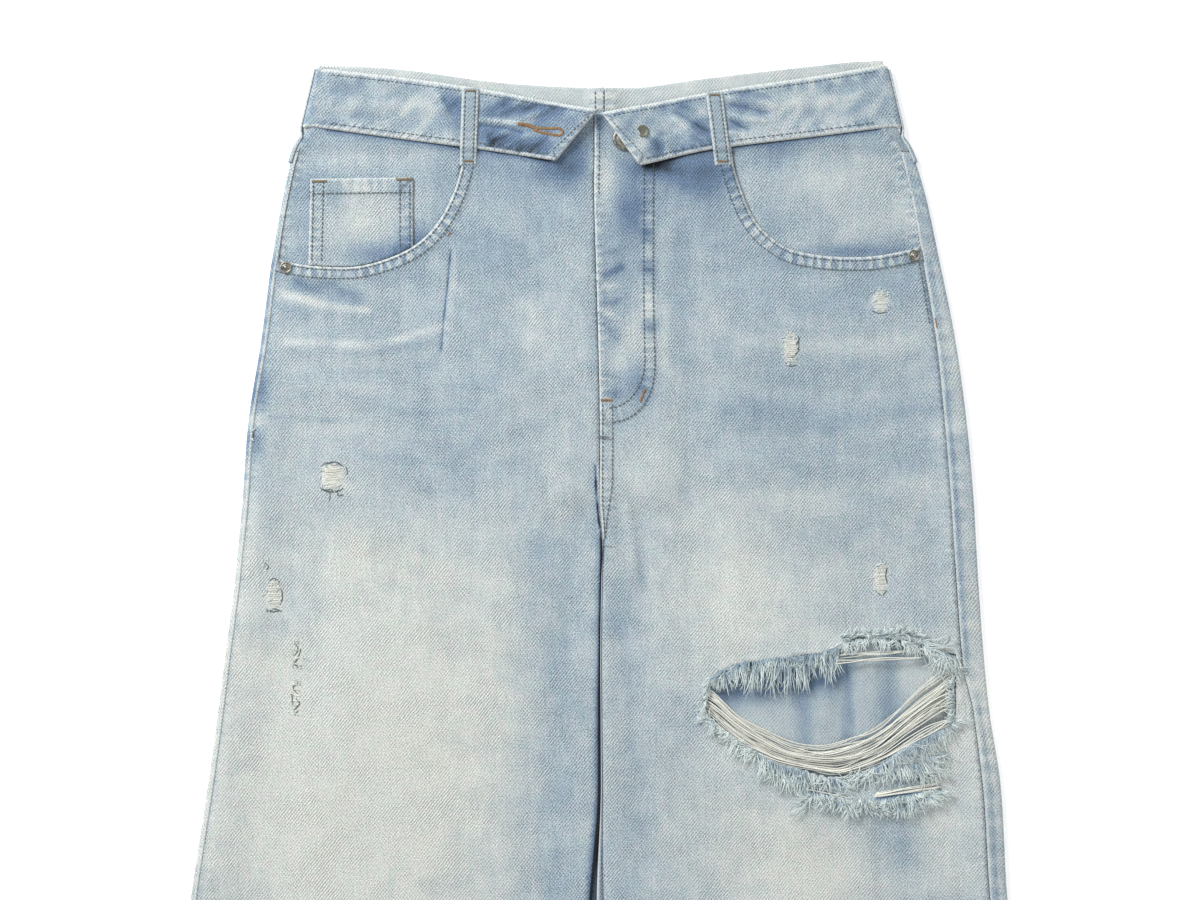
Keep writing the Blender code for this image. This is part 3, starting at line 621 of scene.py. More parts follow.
# Long pale or blue lines worn over the hips, and dark lines of painted shadow in creases, in the
# crotch and under the torn threads at the knee: half width, paler, then the line
WHISKERS_AND_SHADOWS = lined("""
6 0.36 -261 325 -271 400 -284 500 -296 600
2.8 0.95 -239 174.5 -222 179.5 -204 184 -176 187
5.5 -0.62 -228 166 -205 171 -186 178
4 -0.3 -240 184 -222 192
2.8 0.6 -236 211 -205 212 -172 213 -145 207 -117 198
4.5 -0.3 -232 218 -190 220 -128 212
0.7 -1.15 -113.5 142 -116 170 -118.5 192 -120.5 216
2.2 0.3 -110 143 -111 165 -115 200
0.8 -0.35 -121 206 -123 232
3 -0.22 -210 232 -160 233 -120 228
4.5 0.2 -246 246 -200 243 -160 248
1.4 -0.4 -250 267 -215 269 -182 270
2.2 -0.3 -160 262 -130 264 -96 262
5 0.15 -250 279 -180 276 -100 284
3 -0.25 -180 297 -140 299 -90 306
2.2 -0.22 -150 322 -110 324
2.2 -0.22 -140 246 -105 244 -80 248
7 -0.28 60 128 58 180 62 236
5 0.15 76 150 80 220 78 290
3 0.22 46 150 47 230
6 -0.2 64 300 60 340
7 0.1 -252 318 -170 318 -70 328
6 0.16 100 208 160 214 250 206
5.5 -0.14 110 226 170 232 258 222
5 0.12 100 246 180 250 262 243
5.5 -0.16 96 262 180 268 262 258
6 0.14 92 283 170 286 264 276
6 -0.15 90 304 170 308 266 296
7 0.13 84 326 170 328 250 318
6 0.1 -88 186 -60 196 -20 196
6 0.12 46 190 80 200 110 198
3.5 -0.18 -4 100 -5 180 -3 270
2.2 -0.5 2 143 6 144 11 141
2.8 -0.7 2 161 7 159 14 155
2 0.5 2 169 7 170 13 167
2.4 -0.65 2 180 7 182 12 180
2 0.6 2 189 8 190 13 193
3 -0.65 2 197 6 202 10 208
2.4 -0.5 3 235 10 237
1 -1.9 -4.9 304 -4.3 325 -2.4 344 0.2 358
4 -0.3 -8 308 -8 335 -5 366
1.6 -0.28 22 330 24 352 30 390
1.5 -1.8 155 546 168 549.5 181 551
1.4 -1.6 207 552.5 230 549.5 253 545
1.8 -1.1 222 541 240 538 252 533
2 -0.8 160 541 185 542 203 538
3.2 -1.5 205 534 216 529
""")
BAND_FADES = figures("""
-205 32 26 30 -0.16 0.1
118 48 9 8 -0.17
-160 40 40 16 0.06 0.2
-172 20 26 8 -0.12
-112 32 9 9 -0.75 -0.1
-108 48 6 12 -0.2
-74 34 16 7 -0.65 -0.1
-86 56 9 12 -0.6
-66 64 20 8 -0.7 -0.1
-44 36 18 6 -0.8 -0.1
-34 50 18 9 -0.5
-70 46 18 2 0.25 0.1
-52 55 16 3 0.25
-50 68 16 8 -0.5
-22 46 8 6 -0.3
-72 56 40 20 -0.34 -0.1
24 34 60 16 -0.12
66 60 26 14 -0.22
133 60 16 12 -0.2
190 24 40 20 -0.1
14 39 5 5 -0.35
20 49 4 5 -0.3
35 46 5 4 -0.35
45 36 6 4 -0.5
41 60 5 7 -0.45
61 33 8 5 -0.7 -0.1
58 53 5 4 0.3
67 60 6 4 0.15
74 50 8 7 -0.6
52 68 18 7 -0.4
80 62 8 8 -0.45
29 62 5 6 0.2
110 30 16 10 -0.6 -0.1
102 48 8 4 -0.5
118 39 7 3 -0.35
128 52 16 7 0.16 0.1
141 20 3.5 5 -0.4
150 16 3.5 5 -0.4
163 17 3 5 -0.35
170 18 3 4 -0.35
183.5 13 4 4 -0.45
195 11 3 4 -0.4
203.5 10 3.5 4 -0.35
157 17 2.5 5 0.25
177 15 3 5 0.25
156 38 4 4 -0.18
172 36 4 4 -0.2
190 36 5 4 -0.18
150 34 34 10 0.1 0.1
172 32 44 30 0.06 0.05
""")
# Patches on the pocket facings; the dark one at x 133, down 70, under the band, is painted shadow
POCKET_FADES_AND_SHADOW = figures("""
-150 108 40 26 0.14 0.1
-198 84 40 20 -0.06
-140 136 30 12 -0.62 -0.3
-230 110 14 40 -0.1
-190 75 40 9 0.26
-136 66 16 12 0.12
-180 147 36 9 -0.6 -0.3
-236 130 14 26 0.14
148 74 14 10 0.2
148 134 12 8 0.2
150 106 12 10 -0.16
178 134 12 8 0.16
-208 104 8 10 -0.1
-241 104 6 24 0.3
-229 60 8 6 -0.2
-116 96 12 26 -0.16
150 92 40 26 0.2 0.1
200 92 34 40 0.16 0.15
190 143 34 5 -0.5 -0.3
225 120 20 20 0.2
133 70 18 12 -0.42
158 92 30 20 0.1
105 104 14 20 0.13
190 124 30 10 0.1
128 120 8 14 -0.12
222 136 12 16 -0.2 -0.1
""")
COIN_FADES = figures("""
-178 116 24 24 0.3 0.5
-160 146 30 10 -0.62 -0.3
-146 138 10 14 -0.5 -0.2
-190 92 14 5 0.1 0.2
-200 100 8 10 -0.24
-150 96 8 10 -0.2
""")


def washed(x, down, patches, base, warm):
    """Paleness and warmth of the cloth from its soft patches, some of them painted shadow, and a
    little cloudiness.
    """
    tone = base + 0.07 * ripple(x, down, 30, 15, 4) + 0.05 * ripple(x, down, 11, 9, 5)
    warmth = warm + 0.16 * ripple(x, down, 44, 38, 6)
    for px, py, rx, ry, paler, *warmer in patches:
        near = np.exp(-((x - px) / rx) ** 2 - ((down - py) / ry) ** 2)
        tone, warmth = tone + paler * near, warmth + sum(warmer) * near
    return tone, warmth


def band_edge_shadow(x, down):
    """Painted contact shadow and a little unfaded dye where the band's lower edge lies on the hips.
    """
    below = down - np.where(x < 0, LOW[RIGHT](-x), LOW[LEFT](x))
    line = 1.5 * hump(below - 0.5, 1.1) + 0.35 * hump(below - 2.5, 2.6)
    return line * fade(np.abs(x), 205, 212) * np.where(x < 0, fade(x, -42, -36), fade(x, 34, 28))


def front_wash(x, down):
    hip = fade(np.abs(down - 258), 60, 110)
    thigh = 1 - fade(down + 10 * ripple(x, down, 70, 70, 8), 300, 385)
    tone, warmth = washed(x, down, FADES_AND_SHADOWS, 0.48 + 0.13 * hip + 0.22 * thigh,
        0.14 + np.where(x < 0, 0.3, 0.16) * thigh)
    for px, py, rx, ry, bare, _ in SPOTS:
        ragged_edge = 1 + 0.4 * ripple(x, down, 3, 3, 15)
        near = np.exp(-(np.hypot((x - px) / rx, (down - py) / ry) * ragged_edge) ** 4)
        tone, warmth = tone + near * min(0.5, 0.04 * bare), warmth + 0.5 * near
    # Worn whiskers; lines darker than -0.6 are painted shadow and go in at full strength
    for line, width, paler in WHISKERS_AND_SHADOWS:
        away, _ = to_line(x, down, line)
        near = hump(away, width) * (0.75 + 0.5 * ripple(x, down, 13, 6, 9))
        tone = tone + (paler if paler < -0.6 else 0.62 * paler) * near
    # Painted contact shadow under the band's lower edge
    tone = tone - band_edge_shadow(x, down)
    side = np.where(x < 0, seam_x(RIGHT, down) - x, x - seam_x(LEFT, down))
    tone = tone - 0.45 * hump(side, 1.6) * (down > 150)
    # Paler on the relief's ridges from wear, darker in its troughs as painted shade
    return tone + 0.1 * relief(x, down), warmth


# ---- making pieces ----
def sewn(x, down, seams):
    """Where each place lies on its nearest seam: along it, away from it, and how strongly
    the cloth there is puckered between its rows (ladder) and worn white (edging).

    A seam is (line, reach of the puckers, ladder, edging).
    """
    x, down = np.broadcast_arrays(x, down)
    best = np.full(x.shape, 60)
    along, ladder, edging = np.zeros((3, *x.shape))
    for line, reach, rungs, worn in seams:
        away, at = to_line(x, down, line)
        near = away < best
        best, along = np.where(near, away, best), np.where(near, at, along)
        ladder = np.where(near, rungs * fade(away, reach, reach + 2.5), ladder)
        edging = np.where(near, worn, edging)
    return along, best, ladder, edging


def world(points):
    x, down, z = np.asarray(points, float).reshape(-1, 3).T
    return table(x, TOP_Y - down, z) * MM


def new_piece(name, points, faces, looks):
    mesh = bpy.data.meshes.new(name)
    mesh.from_pydata(world(points).tolist(), [], faces)
    for look in looks:
        mesh.materials.append(look)
    mesh.shade_smooth()
    piece = bpy.data.objects.new(name, mesh)
    bpy.context.collection.objects.link(piece)
    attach(piece, "root")
    return piece


def put(piece, name, *values):
    """Store a number, or three of them, at every point of a piece."""
    values = table(*values, np.zeros(len(piece.data.vertices)))[:, :-1]
    kind, key = ('FLOAT', "value") if len(values[0]) == 1 else ('FLOAT_VECTOR', "vector")
    layer = piece.data.attributes.new(name, kind, 'POINT')
    layer.data.foreach_set(key, values.ravel())


def cloth(node, points, faces, looks, weave, wash, seam, wall=WALL, upward=True):
    """The cloth of a node: its middle surface with all that the denim shaders read on it.

    weave is its place on the flat cut, wash its (tone, warmth), seam what sewn() gives.
    """
    a, b, c = (world(points)[faces[:, k]] for k in range(3))
    if (np.cross(b - a, c - a)[:, 2].sum() > 0) != upward:
        faces = faces[:, ::-1]
    piece = new_piece(node + "_cloth", points, faces.tolist(), looks)
    sheet = piece.data.uv_layers.new(name="weave")
    corner = np.empty(len(piece.data.loops), np.int32)
    piece.data.loops.foreach_get("vertex_index", corner)
    sheet.data.foreach_set("uv", (weave[corner] * MM).ravel())
    along, away, ladder, edging = seam
    put(piece, "tone", wash[0])
    put(piece, "warm", wash[1])
    put(piece, "seam", along, away, 0)
    put(piece, "ladder", ladder)
    put(piece, "edging", edging)
    solid = piece.modifiers.new("Wall", 'SOLIDIFY')
    solid.thickness, solid.offset, solid.use_even_offset = wall * MM, 0, False
    solid.material_offset = len(looks) - 1
    u, v = weave[faces, 0], weave[faces, 1]
    area = 0.5 * np.abs(np.sum(u * np.roll(v, -1, 1) - np.roll(u, -1, 1) * v, axis=1)).sum()
    piece["cut"] = [*np.ptp(weave, axis=0) * MM, area * 1e-6]
    return piece


def lay(piece):
    """Hide the solid that a piece stands for."""
    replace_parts(piece, piece.name.removesuffix("_cloth"))


def grid_faces(rows, columns):
    r, c = np.meshgrid(np.arange(rows - 1), np.arange(columns - 1), indexing="ij")
    first = (r * columns + c).ravel()
    return table(first, first + 1, first + columns + 1, first + columns)


def closed(ring):
    return np.vstack([ring, ring[:1]])


def plate(ring, hole=None, extra=(), step=3, far=8):
    """Triangles that fill a ring less its hole, fine down to FINE_END and coarse below."""
    rings = [ring] if hole is None else [ring, hole]

    def within(spots):
        keep = inside(*spots.T, ring)
        return keep if hole is None else keep & ~inside(*spots.T, hole)

    points, edges = [], []
    for loop in rings:
        start, count = sum(map(len, points)), len(loop)
        points.append(loop)
        edges += [(start + i, start + (i + 1) % count) for i in range(count)]
    low, high = ring.min(axis=0), ring.max(axis=0)
    fill = []
    for top, bottom, gap in ((low[1], min(FINE_END, high[1]), step), (FINE_END, high[1], far)):
        if bottom - top < gap:
            continue
        gx, gd = np.meshgrid(np.arange(low[0], high[0] + gap, gap),
            np.arange(top + gap / 2, bottom, gap * 0.88))
        gx = gx + (np.arange(len(gd)) % 2)[:, None] * gap / 2
        spots = table(gx.ravel(), gd.ravel())
        spots = spots[within(spots)]
        clear = [to_line(*spots.T, line)[0] > 0.45 * gap for line in (*map(closed, rings), *extra)]
        fill.append(spots[np.all(clear, axis=0)])
    for line in extra:
        away, _ = to_line(*line.T, closed(ring))
        points.append(line[within(line) & (away > 0.3)])
    flat = np.vstack(points + fill)
    found, _, tris, *_ = delaunay_2d_cdt([Vector(p) for p in flat.tolist()], edges, [], 0, 1e-5)
    found, tris = np.array([tuple(p) for p in found]), np.array(tris)
    return found, tris[within(found[tris].mean(axis=1))]


def sweep(paths, radius, sides=5):
    """Closed threads along many paths of one point count: (threads, points, 3) in mm."""
    paths = np.asarray(paths, float)
    threads, count, _ = paths.shape
    radius = np.broadcast_to(np.asarray(radius, float), (threads, count))
    along = np.gradient(paths, axis=1)
    along /= np.maximum(np.linalg.norm(along, axis=2, keepdims=True), 1e-9)
    aside = np.cross(along, (0, 0, 1))
    short = np.linalg.norm(aside, axis=2, keepdims=True)
    aside = np.where(short < 1e-3, (1, 0, 0), aside / np.maximum(short, 1e-9))
    up = np.cross(aside, along)
    turn = np.arange(sides) * math.tau / sides
    cos, sin = np.cos(turn)[:, None], np.sin(turn)[:, None]
    ring = cos * aside[:, :, None] + sin * up[:, :, None]
    points = paths[:, :, None] + radius[..., None, None] * ring
    start = np.arange(threads)[:, None, None] * count * sides
    k, j = np.meshgrid(np.arange(count - 1), np.arange(sides), indexing="ij")
    a = start + (k * sides + j)[None]
    b = start + (k * sides + (j + 1) % sides)[None]
    faces = np.stack([a, b, b + sides, a + sides], axis=3).reshape(-1, 4).tolist()
    first = np.arange(threads)[:, None] * count * sides + np.arange(sides)[None, ::-1]
    last = np.arange(threads)[:, None] * count * sides + (count - 1) * sides + np.arange(sides)
    return points.reshape(-1, 3), faces + first.tolist() + last.tolist()


def threads(name, paths, radius, look, tint, glow, slot="cream_thread", sides=5):
    """One piece of many threads. tint runs root to tip, glow is one number a thread."""
    points, faces = sweep(paths, radius, sides)
    piece = new_piece(name, points, faces, [look])
    count, steps = paths.shape[:2]
    put(piece, "tint", np.repeat(np.broadcast_to(tint, (count, steps)).ravel(), sides))
    put(piece, "glow", np.repeat(glow, steps * sides))
    return piece


def stitches(line, height, pitch, length, dice, sink=0.12, proud=0.55):
    """Paths of the separate stitches along a line that lies at height(x, down)."""
    line = np.asarray(line, float)
    run = run_along(line)
    starts = np.arange(0.3 * pitch, run[-1] - length, pitch)
    share = np.array([0, 0.22, 0.5, 0.78, 1])
    at = starts[:, None] + dice.uniform(-0.2, 0.2, len(starts))[:, None] + share * length
    x, down = np.interp(at, run, line[:, 0]), np.interp(at, run, line[:, 1])
    lift = np.array([-sink, proud * 0.7, proud, proud * 0.7, -sink])
    return table(x, down, height(x, down) + lift)


def satin(line, width, height, step, dice, proud=0.7):
    """Close stitches laid across a line, as in a bartack or a buttonhole."""
    line = even(line, step)
    left, right = offset(line, width / 2), offset(line, -width / 2)
    share = np.array([0, 0.18, 0.5, 0.82, 1])[None, :, None]
    flat = left[:, None, :] * (1 - share) + right[:, None, :] * share
    flat = flat + dice.uniform(-0.12, 0.12, (len(line), 1, 2))
    lift = np.array([-0.2, 0.6, 1, 0.6, -0.2]) * proud
    z = height(flat[:, :, 0], flat[:, :, 1]) + lift
    return np.concatenate([flat, z[:, :, None]], axis=2)


# ---- finishes ----
class Nodes:
    """Short hand for adding and joining shader nodes."""

    def __init__(self, tree):
        self.tree = tree

    def make(self, kind, sockets=None, **settings):
        """A node with its settings made, and its sockets fed by name."""
        node = self.tree.nodes.new("ShaderNode" + kind)
        for name, value in settings.items():
            setattr(node, name, value)
        for name, value in (sockets or {}).items():
            self.feed(node.inputs[name], value)
        return node

    def add(self, kind, *values, out=0, **settings):
        """An output of a node whose sockets are fed in their order."""
        node = self.make(kind, **settings)
        for socket, value in zip([s for s in node.inputs if s.enabled], values):
            self.feed(socket, value)
        return [s for s in node.outputs if s.enabled][out]

    def feed(self, socket, value):
        if isinstance(value, bpy.types.NodeSocket):
            self.tree.links.new(value, socket)
        else:
            socket.default_value = value

    def sum(self, operation, *values):
        return self.add("Math", *values, operation=operation)

    plus = partialmethod(sum, 'ADD')
    less = partialmethod(sum, 'SUBTRACT')
    times = partialmethod(sum, 'MULTIPLY')
    line = partialmethod(sum, 'MULTIPLY_ADD')

    def scaled(self, vector, x, y, z=1):
        return self.add("VectorMath", vector, (x, y, z), operation='MULTIPLY')

    def noise(self, vector, scale=1, detail=2, roughness=0.5):
        return self.make("TexNoise", {"Vector": vector, "Scale": scale, "Detail": detail,
            "Roughness": roughness}).outputs["Fac"]

    def span(self, value, low, high, to_low=0, to_high=1, smooth=True):
        return self.add("MapRange", value, low, high, to_low, to_high,
            interpolation_type='SMOOTHSTEP' if smooth else 'LINEAR')

    def blend(self, share, a, b, kind='MIX'):
        return self.add("Mix", share, a, b, data_type='RGBA', blend_type=kind, clamp_factor=True)

    def bump(self, height, distance, strength=1):
        return self.make("Bump", {"Strength": strength, "Distance": distance,
            "Height": height}).outputs[0]

    def attribute(self, name, out="Fac"):
        return self.make("Attribute", attribute_name=name).outputs[out]

    def group(self, tree, **values):
        return self.make("Group", values, node_tree=tree).outputs


def node_group(name, inputs, outputs):
    """A new shader node group with its sockets; gives its nodes and both its ends."""
    tree = bpy.data.node_groups.new(name, 'ShaderNodeTree')
    for direction, sockets in (('INPUT', inputs), ('OUTPUT', outputs)):
        for socket, kind in sockets.items():
            tree.interface.new_socket(socket, in_out=direction, socket_type="NodeSocket" + kind)
    start, end = tree.nodes.new("NodeGroupInput"), tree.nodes.new("NodeGroupOutput")
    return Nodes(tree), start.outputs, end.inputs


def twill_group():
    """Diagonal ribs crossed by fainter ones, with uneven yarns. Lean 1 rises to the right."""
    n, given, out = node_group("Twill", {"Place": "Vector", "Lean": "Float", "Pitch": "Float"},
        {"Fleck": "Float", "Lift": "Float"})
    mm = n.scaled(given["Place"], 1000, 1000)
    wander = n.line(n.noise(mm, 0.2, 2), 5, -2.5)
    patchy = n.span(n.noise(mm, 0.04, 2), 0.35, 0.65, 0.65, 1.25)
    axes = n.add("SeparateXYZ", mm)
    u, v = axes, axes.node.outputs[1]
    rise = n.times(v, n.times(given["Lean"], 0.62))
    turn = n.sum('DIVIDE', math.tau, given["Pitch"])
    share = n.span(n.noise(mm, 0.022, 1), 0.4, 0.62)
    ribs = n.sum('SINE', n.line(n.plus(n.times(u, 0.79), rise), turn, wander))
    cross = n.sum('SINE', n.line(n.less(n.times(u, 0.74), rise), turn, wander))
    weave = n.plus(n.times(ribs, n.line(share, -0.35, 1.05)),
        n.times(cross, n.line(share, 0.45, 0.4)))
    weave = n.times(weave, patchy)
    warp = n.less(n.noise(n.scaled(mm, 0.62, 0.07), 1, 2), 0.5)
    weft = n.less(n.noise(n.scaled(mm, 0.07, 0.6), 1, 2), 0.5)
    speck = n.less(n.noise(mm, 0.95, 1, 0.8), 0.5)
    yarns = n.plus(n.times(warp, 1.1), n.times(weft, 0.8))
    grain = n.line(speck, 7, yarns)
    n.feed(out["Fleck"], n.line(weave, 0.62, grain))
    n.feed(out["Lift"], n.plus(n.times(weave, 0.14), n.times(grain, 0.06)))
    return n.tree


def pucker_group():
    """Worn ladder of puckers along a sewn seam, and its white abraded edge."""
    n, given, out = node_group("Seam wear", {"Seam": "Vector", "Ladder": "Float",
        "Edging": "Float"}, {"Paler": "Float", "White": "Float", "Lift": "Float"})
    along = n.add("SeparateXYZ", given["Seam"])
    away = along.node.outputs[1]
    drift = n.noise(n.scaled(given["Seam"], 0.07, 0.02), 1, 2)
    wave = n.sum('SINE', n.line(drift, 8, n.times(along, 0.85)))
    rough = n.noise(n.scaled(given["Seam"], 0.3, 0.2), 1, 2)
    rungs = n.span(n.line(rough, 5, wave), 1.5, 3.5)
    patchy = n.span(n.noise(n.scaled(given["Seam"], 0.035, 0.02), 1, 1), 0.36, 0.56, 0.35, 1)
    fine = n.noise(n.scaled(given["Seam"], 0.22, 0.25), 1, 3)
    strong = n.times(n.times(given["Ladder"], patchy), n.less(rungs, 0.45))
    n.feed(out["Paler"], n.times(strong, 0.66))
    bare = n.span(n.less(away, n.line(fine, 1, 0.6)), 0.45, -0.45)
    n.feed(out["White"], n.times(n.times(given["Edging"], bare), n.span(fine, 0.25, 0.55, 0.55, 1)))
    n.feed(out["Lift"], n.times(n.times(given["Ladder"], rungs), 0.7))
    return n.tree


def wash_group():
    """Dye from deep to worn pale, with cloudy fading and a warm or cold cast."""
    n, given, out = node_group("Washed dye and painted shade", {"Place": "Vector", "Tone": "Float", "Warm": "Float",
        "White": "Float", "Fleck": "Float", "Deep": "Color", "Middle": "Color", "Pale": "Color",
        "Worn": "Color"}, {"Colour": "Color", "Roughness": "Float"})
    mm = n.scaled(given["Place"], 1000, 1000)
    cloud = n.less(n.noise(mm, 0.085, 4, 0.62), 0.5)
    streak = n.less(n.noise(n.scaled(mm, 0.16, 0.03), 1, 2), 0.5)
    tone = n.line(cloud, 0.36, n.line(streak, 0.26, given["Tone"]))
    # Below the deep dye the tone runs on to near black, for painted shadow lines and gaps
    dark = n.blend(n.span(tone, -0.9, -0.05), (0.015, 0.02, 0.025, 1), given["Deep"])
    dark = n.blend(n.span(tone, -0.05, 0.5, smooth=False), dark, given["Middle"])
    dyed = n.blend(n.span(tone, 0.5, 1.05, smooth=False), dark, given["Pale"])
    warm = n.line(n.less(n.noise(mm, 0.045, 3), 0.5), 0.5, given["Warm"])
    cast = n.blend(n.span(warm, -0.3, 1, smooth=False), (0.955, 0.995, 1.045, 1),
        (1.025, 1, 0.962, 1))
    dyed = n.blend(1, dyed, cast, kind='MULTIPLY')
    cast = n.blend(n.span(n.noise(mm, 0.11, 3, 0.7), 0.35, 0.65), (0.975, 1.012, 0.995, 1),
        (1.025, 0.988, 1.012, 1))
    dyed = n.blend(1, dyed, cast, kind='MULTIPLY')
    dyed = n.blend(n.times(given["White"], 0.9), dyed, given["Worn"])
    strength = n.times(n.span(tone, 0.5, 1, 0.31, 0.2), n.line(given["White"], -0.6, 1))
    glint = n.line(given["Fleck"], strength, 1)
    n.feed(out["Colour"], n.blend(1, dyed, n.add("CombineXYZ", glint, glint, glint),
        kind='MULTIPLY'))
    n.feed(out["Roughness"], n.span(tone, 0, 1, 0.82, 0.93, smooth=False))
    return n.tree


GROUPS = {}


def shared(maker):
    if maker.__name__ not in GROUPS:
        GROUPS[maker.__name__] = maker()
    return GROUPS[maker.__name__]


def new_look(name, **constants):
    """A material: its nodes, and its Principled shader with the constants set on it."""
    made = bpy.data.materials.new(name)
    made.use_nodes = True
    shader = made.node_tree.nodes["Principled BSDF"]
    for socket, value in constants.items():
        shader.inputs[socket.replace("_", " ")].default_value = value
    return made, Nodes(made.node_tree), shader.inputs


def dye(colour, depth=1):
    return (*(channel * depth for channel in colour), 1)


def denim_look(name, cloth_set, lean, depth=1, paler=0, warmer=0, grain=1):
    """Washed denim. depth darkens the whole dye, paler and warmer shift it."""
    made, n, shader = new_look(name, Sheen_Weight=0.12, Sheen_Roughness=0.6,
        Specular_IOR_Level=0.18)
    place = n.add("UVMap", uv_map="weave")
    twill = n.group(shared(twill_group), Place=place, Lean=lean, Pitch=cloth_set.twill_pitch * 1000)
    seam = n.group(shared(pucker_group), Seam=n.attribute("seam", "Vector"),
        Ladder=n.attribute("ladder"), Edging=n.attribute("edging"))
    tone = n.plus(n.plus(n.attribute("tone"), paler), seam["Paler"])
    wash = n.group(shared(wash_group), Place=place, Tone=tone, White=seam["White"],
        Warm=n.plus(n.attribute("warm"), warmer), Fleck=n.times(twill["Fleck"], grain),
        Deep=dye(cloth_set.deep, depth), Middle=dye(cloth_set.middle, depth),
        Pale=dye(cloth_set.pale, depth), Worn=dye(cloth_set.worn))
    n.feed(shader["Base Color"], wash["Colour"])
    n.feed(shader["Roughness"], wash["Roughness"])
    n.feed(shader["Normal"], n.bump(n.plus(twill["Lift"], seam["Lift"]), 0.001))
    return made


def thread_look(name, root, tip):
    """Cotton thread: its colour runs from root to tip, and differs a little by strand."""
    made, n, shader = new_look(name, Sheen_Weight=0.15, Sheen_Roughness=0.5, Specular_IOR_Level=0.2)
    fleck = n.noise(n.scaled(n.add("TexCoord", out=3), 900, 900, 900), 1, 2)
    colour = n.blend(n.span(n.line(n.less(fleck, 0.5), 0.5, n.attribute("tint")), 0, 1), dye(root),
        dye(tip))
    glow = n.line(n.attribute("glow"), 0.16, n.line(fleck, 0.3, 0.85))
    glow = n.add("CombineXYZ", glow, glow, glow)
    n.feed(shader["Base Color"], n.blend(1, colour, glow, kind='MULTIPLY'))
    n.feed(shader["Roughness"], n.span(fleck, 0.3, 0.7, 0.8, 0.95))
    n.feed(shader["Normal"], n.bump(fleck, 0.0002, 0.6))
    return made


def metal_look(name, bright, dull, rough):
    """Old plated metal, dull in its hollows and scuffed bright where it is proud."""
    made, n, shader = new_look(name, Metallic=1)
    place = n.add("TexCoord", out=3)
    stain = n.noise(place, 420, 4, 0.6)
    scuff = n.noise(n.scaled(place, 900, 2600, 900), 1, 2)
    worn = n.span(n.line(scuff, 0.35, stain), 0.45, 0.85)
    n.feed(shader["Base Color"], n.blend(worn, dye(dull), dye(bright)))
    n.feed(shader["Roughness"], n.span(worn, 0, 1, rough + 0.18, rough, smooth=False))
    n.feed(shader["Normal"], n.bump(stain, 0.0002, 0.35))
    return made


# ---- sizes and colours a user would change ----
def colour_property(name, default, description):
    return FloatVectorProperty(name=name, description=description, subtype='COLOR', size=3, min=0,
        max=1, default=default)


def length_property(name, default, description):
    return FloatProperty(name=name, description=description, default=default, min=0, unit='LENGTH',
        precision=5)


class JeansCloth(bpy.types.PropertyGroup):
    """Dye and weave of the denim."""
    deep: colour_property("Deep dye", (0.16, 0.235, 0.345), "Least faded cloth")
    middle: colour_property("Middle dye", (0.372, 0.46, 0.518), "Cloth faded half way")
    pale: colour_property("Pale dye", (0.69, 0.728, 0.7), "Most faded cloth")
    worn: colour_property("Worn yarn", (0.71, 0.745, 0.725), "Bare yarn on rubbed edges")
    twill_pitch: length_property("Twill pitch", 0.0019, "Distance between the weave's ribs")


class JeansThread(bpy.types.PropertyGroup):
    """Sewing threads."""
    stitch: length_property("Stitch", 0.0027, "Length of one topstitch")
    pitch: length_property("Pitch", 0.0034, "Distance from stitch to stitch")
    radius: length_property("Radius", 0.00036, "Half the thickness of the sewing thread")
    seam: colour_property("Topstitch", (0.12, 0.145, 0.15), "Faded blue-grey topstitching")
    tack: colour_property("Bartack", (0.4, 0.225, 0.1), "Bartacks and buttonhole")


class JeansRip(bpy.types.PropertyGroup):
    """Threads round the torn knee."""
    strands: IntProperty(name="Strands", description="Loose weft threads across the hole",
        default=38, min=10, max=200)
    fringe_gap: length_property("Fringe gap", 0.0004, "Distance between fringe threads")
    cream: colour_property("Weft", (0.88, 0.88, 0.8), "Undyed weft thread")
    indigo: colour_property("Warp", (0.335, 0.44, 0.51), "Dyed root of a fringe thread")
    tip: colour_property("Worn tip", (0.79, 0.87, 0.85), "Bleached tip of a fringe thread")


class JeansStage(bpy.types.PropertyGroup):
    """Camera, floor and light."""
    camera_height: length_property("Camera height", 2.5, "Camera above the cloth")
    view_width: length_property("View width", 0.9, "Width of cloth that the view takes in")
    key: FloatProperty(name="Key light", description="Power of the main soft light", default=90,
        min=0, unit='POWER')


# ---- fronts ----
def z_panel(side, x, down):
    """A front panel with its turned hems, fly placket and rolled edges."""
    z = z_front(side, x, down)
    away, _ = to_line(x, down, MOUTH_EDGE[side])
    z = z + 0.75 * fade(away, 9.5, 12) - pillow(away, 1)
    z = z + 0.9 * fade(LENGTH - down, 20, 22.5) - pillow(LENGTH - down, 0.9)
    seam = np.abs(seam_x(side, down) - x)
    z = z - pillow(seam, 0.45) * fade(down, 156, 150)
    centre = np.abs(x - INNER[LEFT](down))
    upper = fade(down, FLY_FOOT, 300)
    if side == RIGHT:
        return z - 0.8 * fade(centre, 1.5, 9) * upper
    placket, _ = to_line(x, down, J_OUTER)
    within = (x < np.interp(down, J_OUTER[:, 1], J_OUTER[:, 0])) & (down < 272)
    z = z + 0.45 * np.where(within, 1, fade(placket, 0, 2.2))
    z = z + 0.55 * fade(centre, 4.6, 6.6) * upper - pillow(centre, 1.2) * upper
    felled = fade(down, 300, FLY_FOOT) * fade(down, 368, 378)
    z = z + 0.5 * fade(centre, 9, 11) * felled
    torn, _ = to_line(x, down, HOLE_RING)
    curl = 1 + 0.9 * ripple(x, down, 9, 9, 11)
    strip = hump(down - (548 + 7 * hump(x - 200, 45)), 5.5) * fade(np.abs(x - 200), 44, 56)
    strip = strip + 0.8 * np.exp(-((x - 232) / 20) ** 2 - ((down - 527) / 9) ** 2)
    return z + 0.9 * hump(torn, 5) * curl + 2 * strip


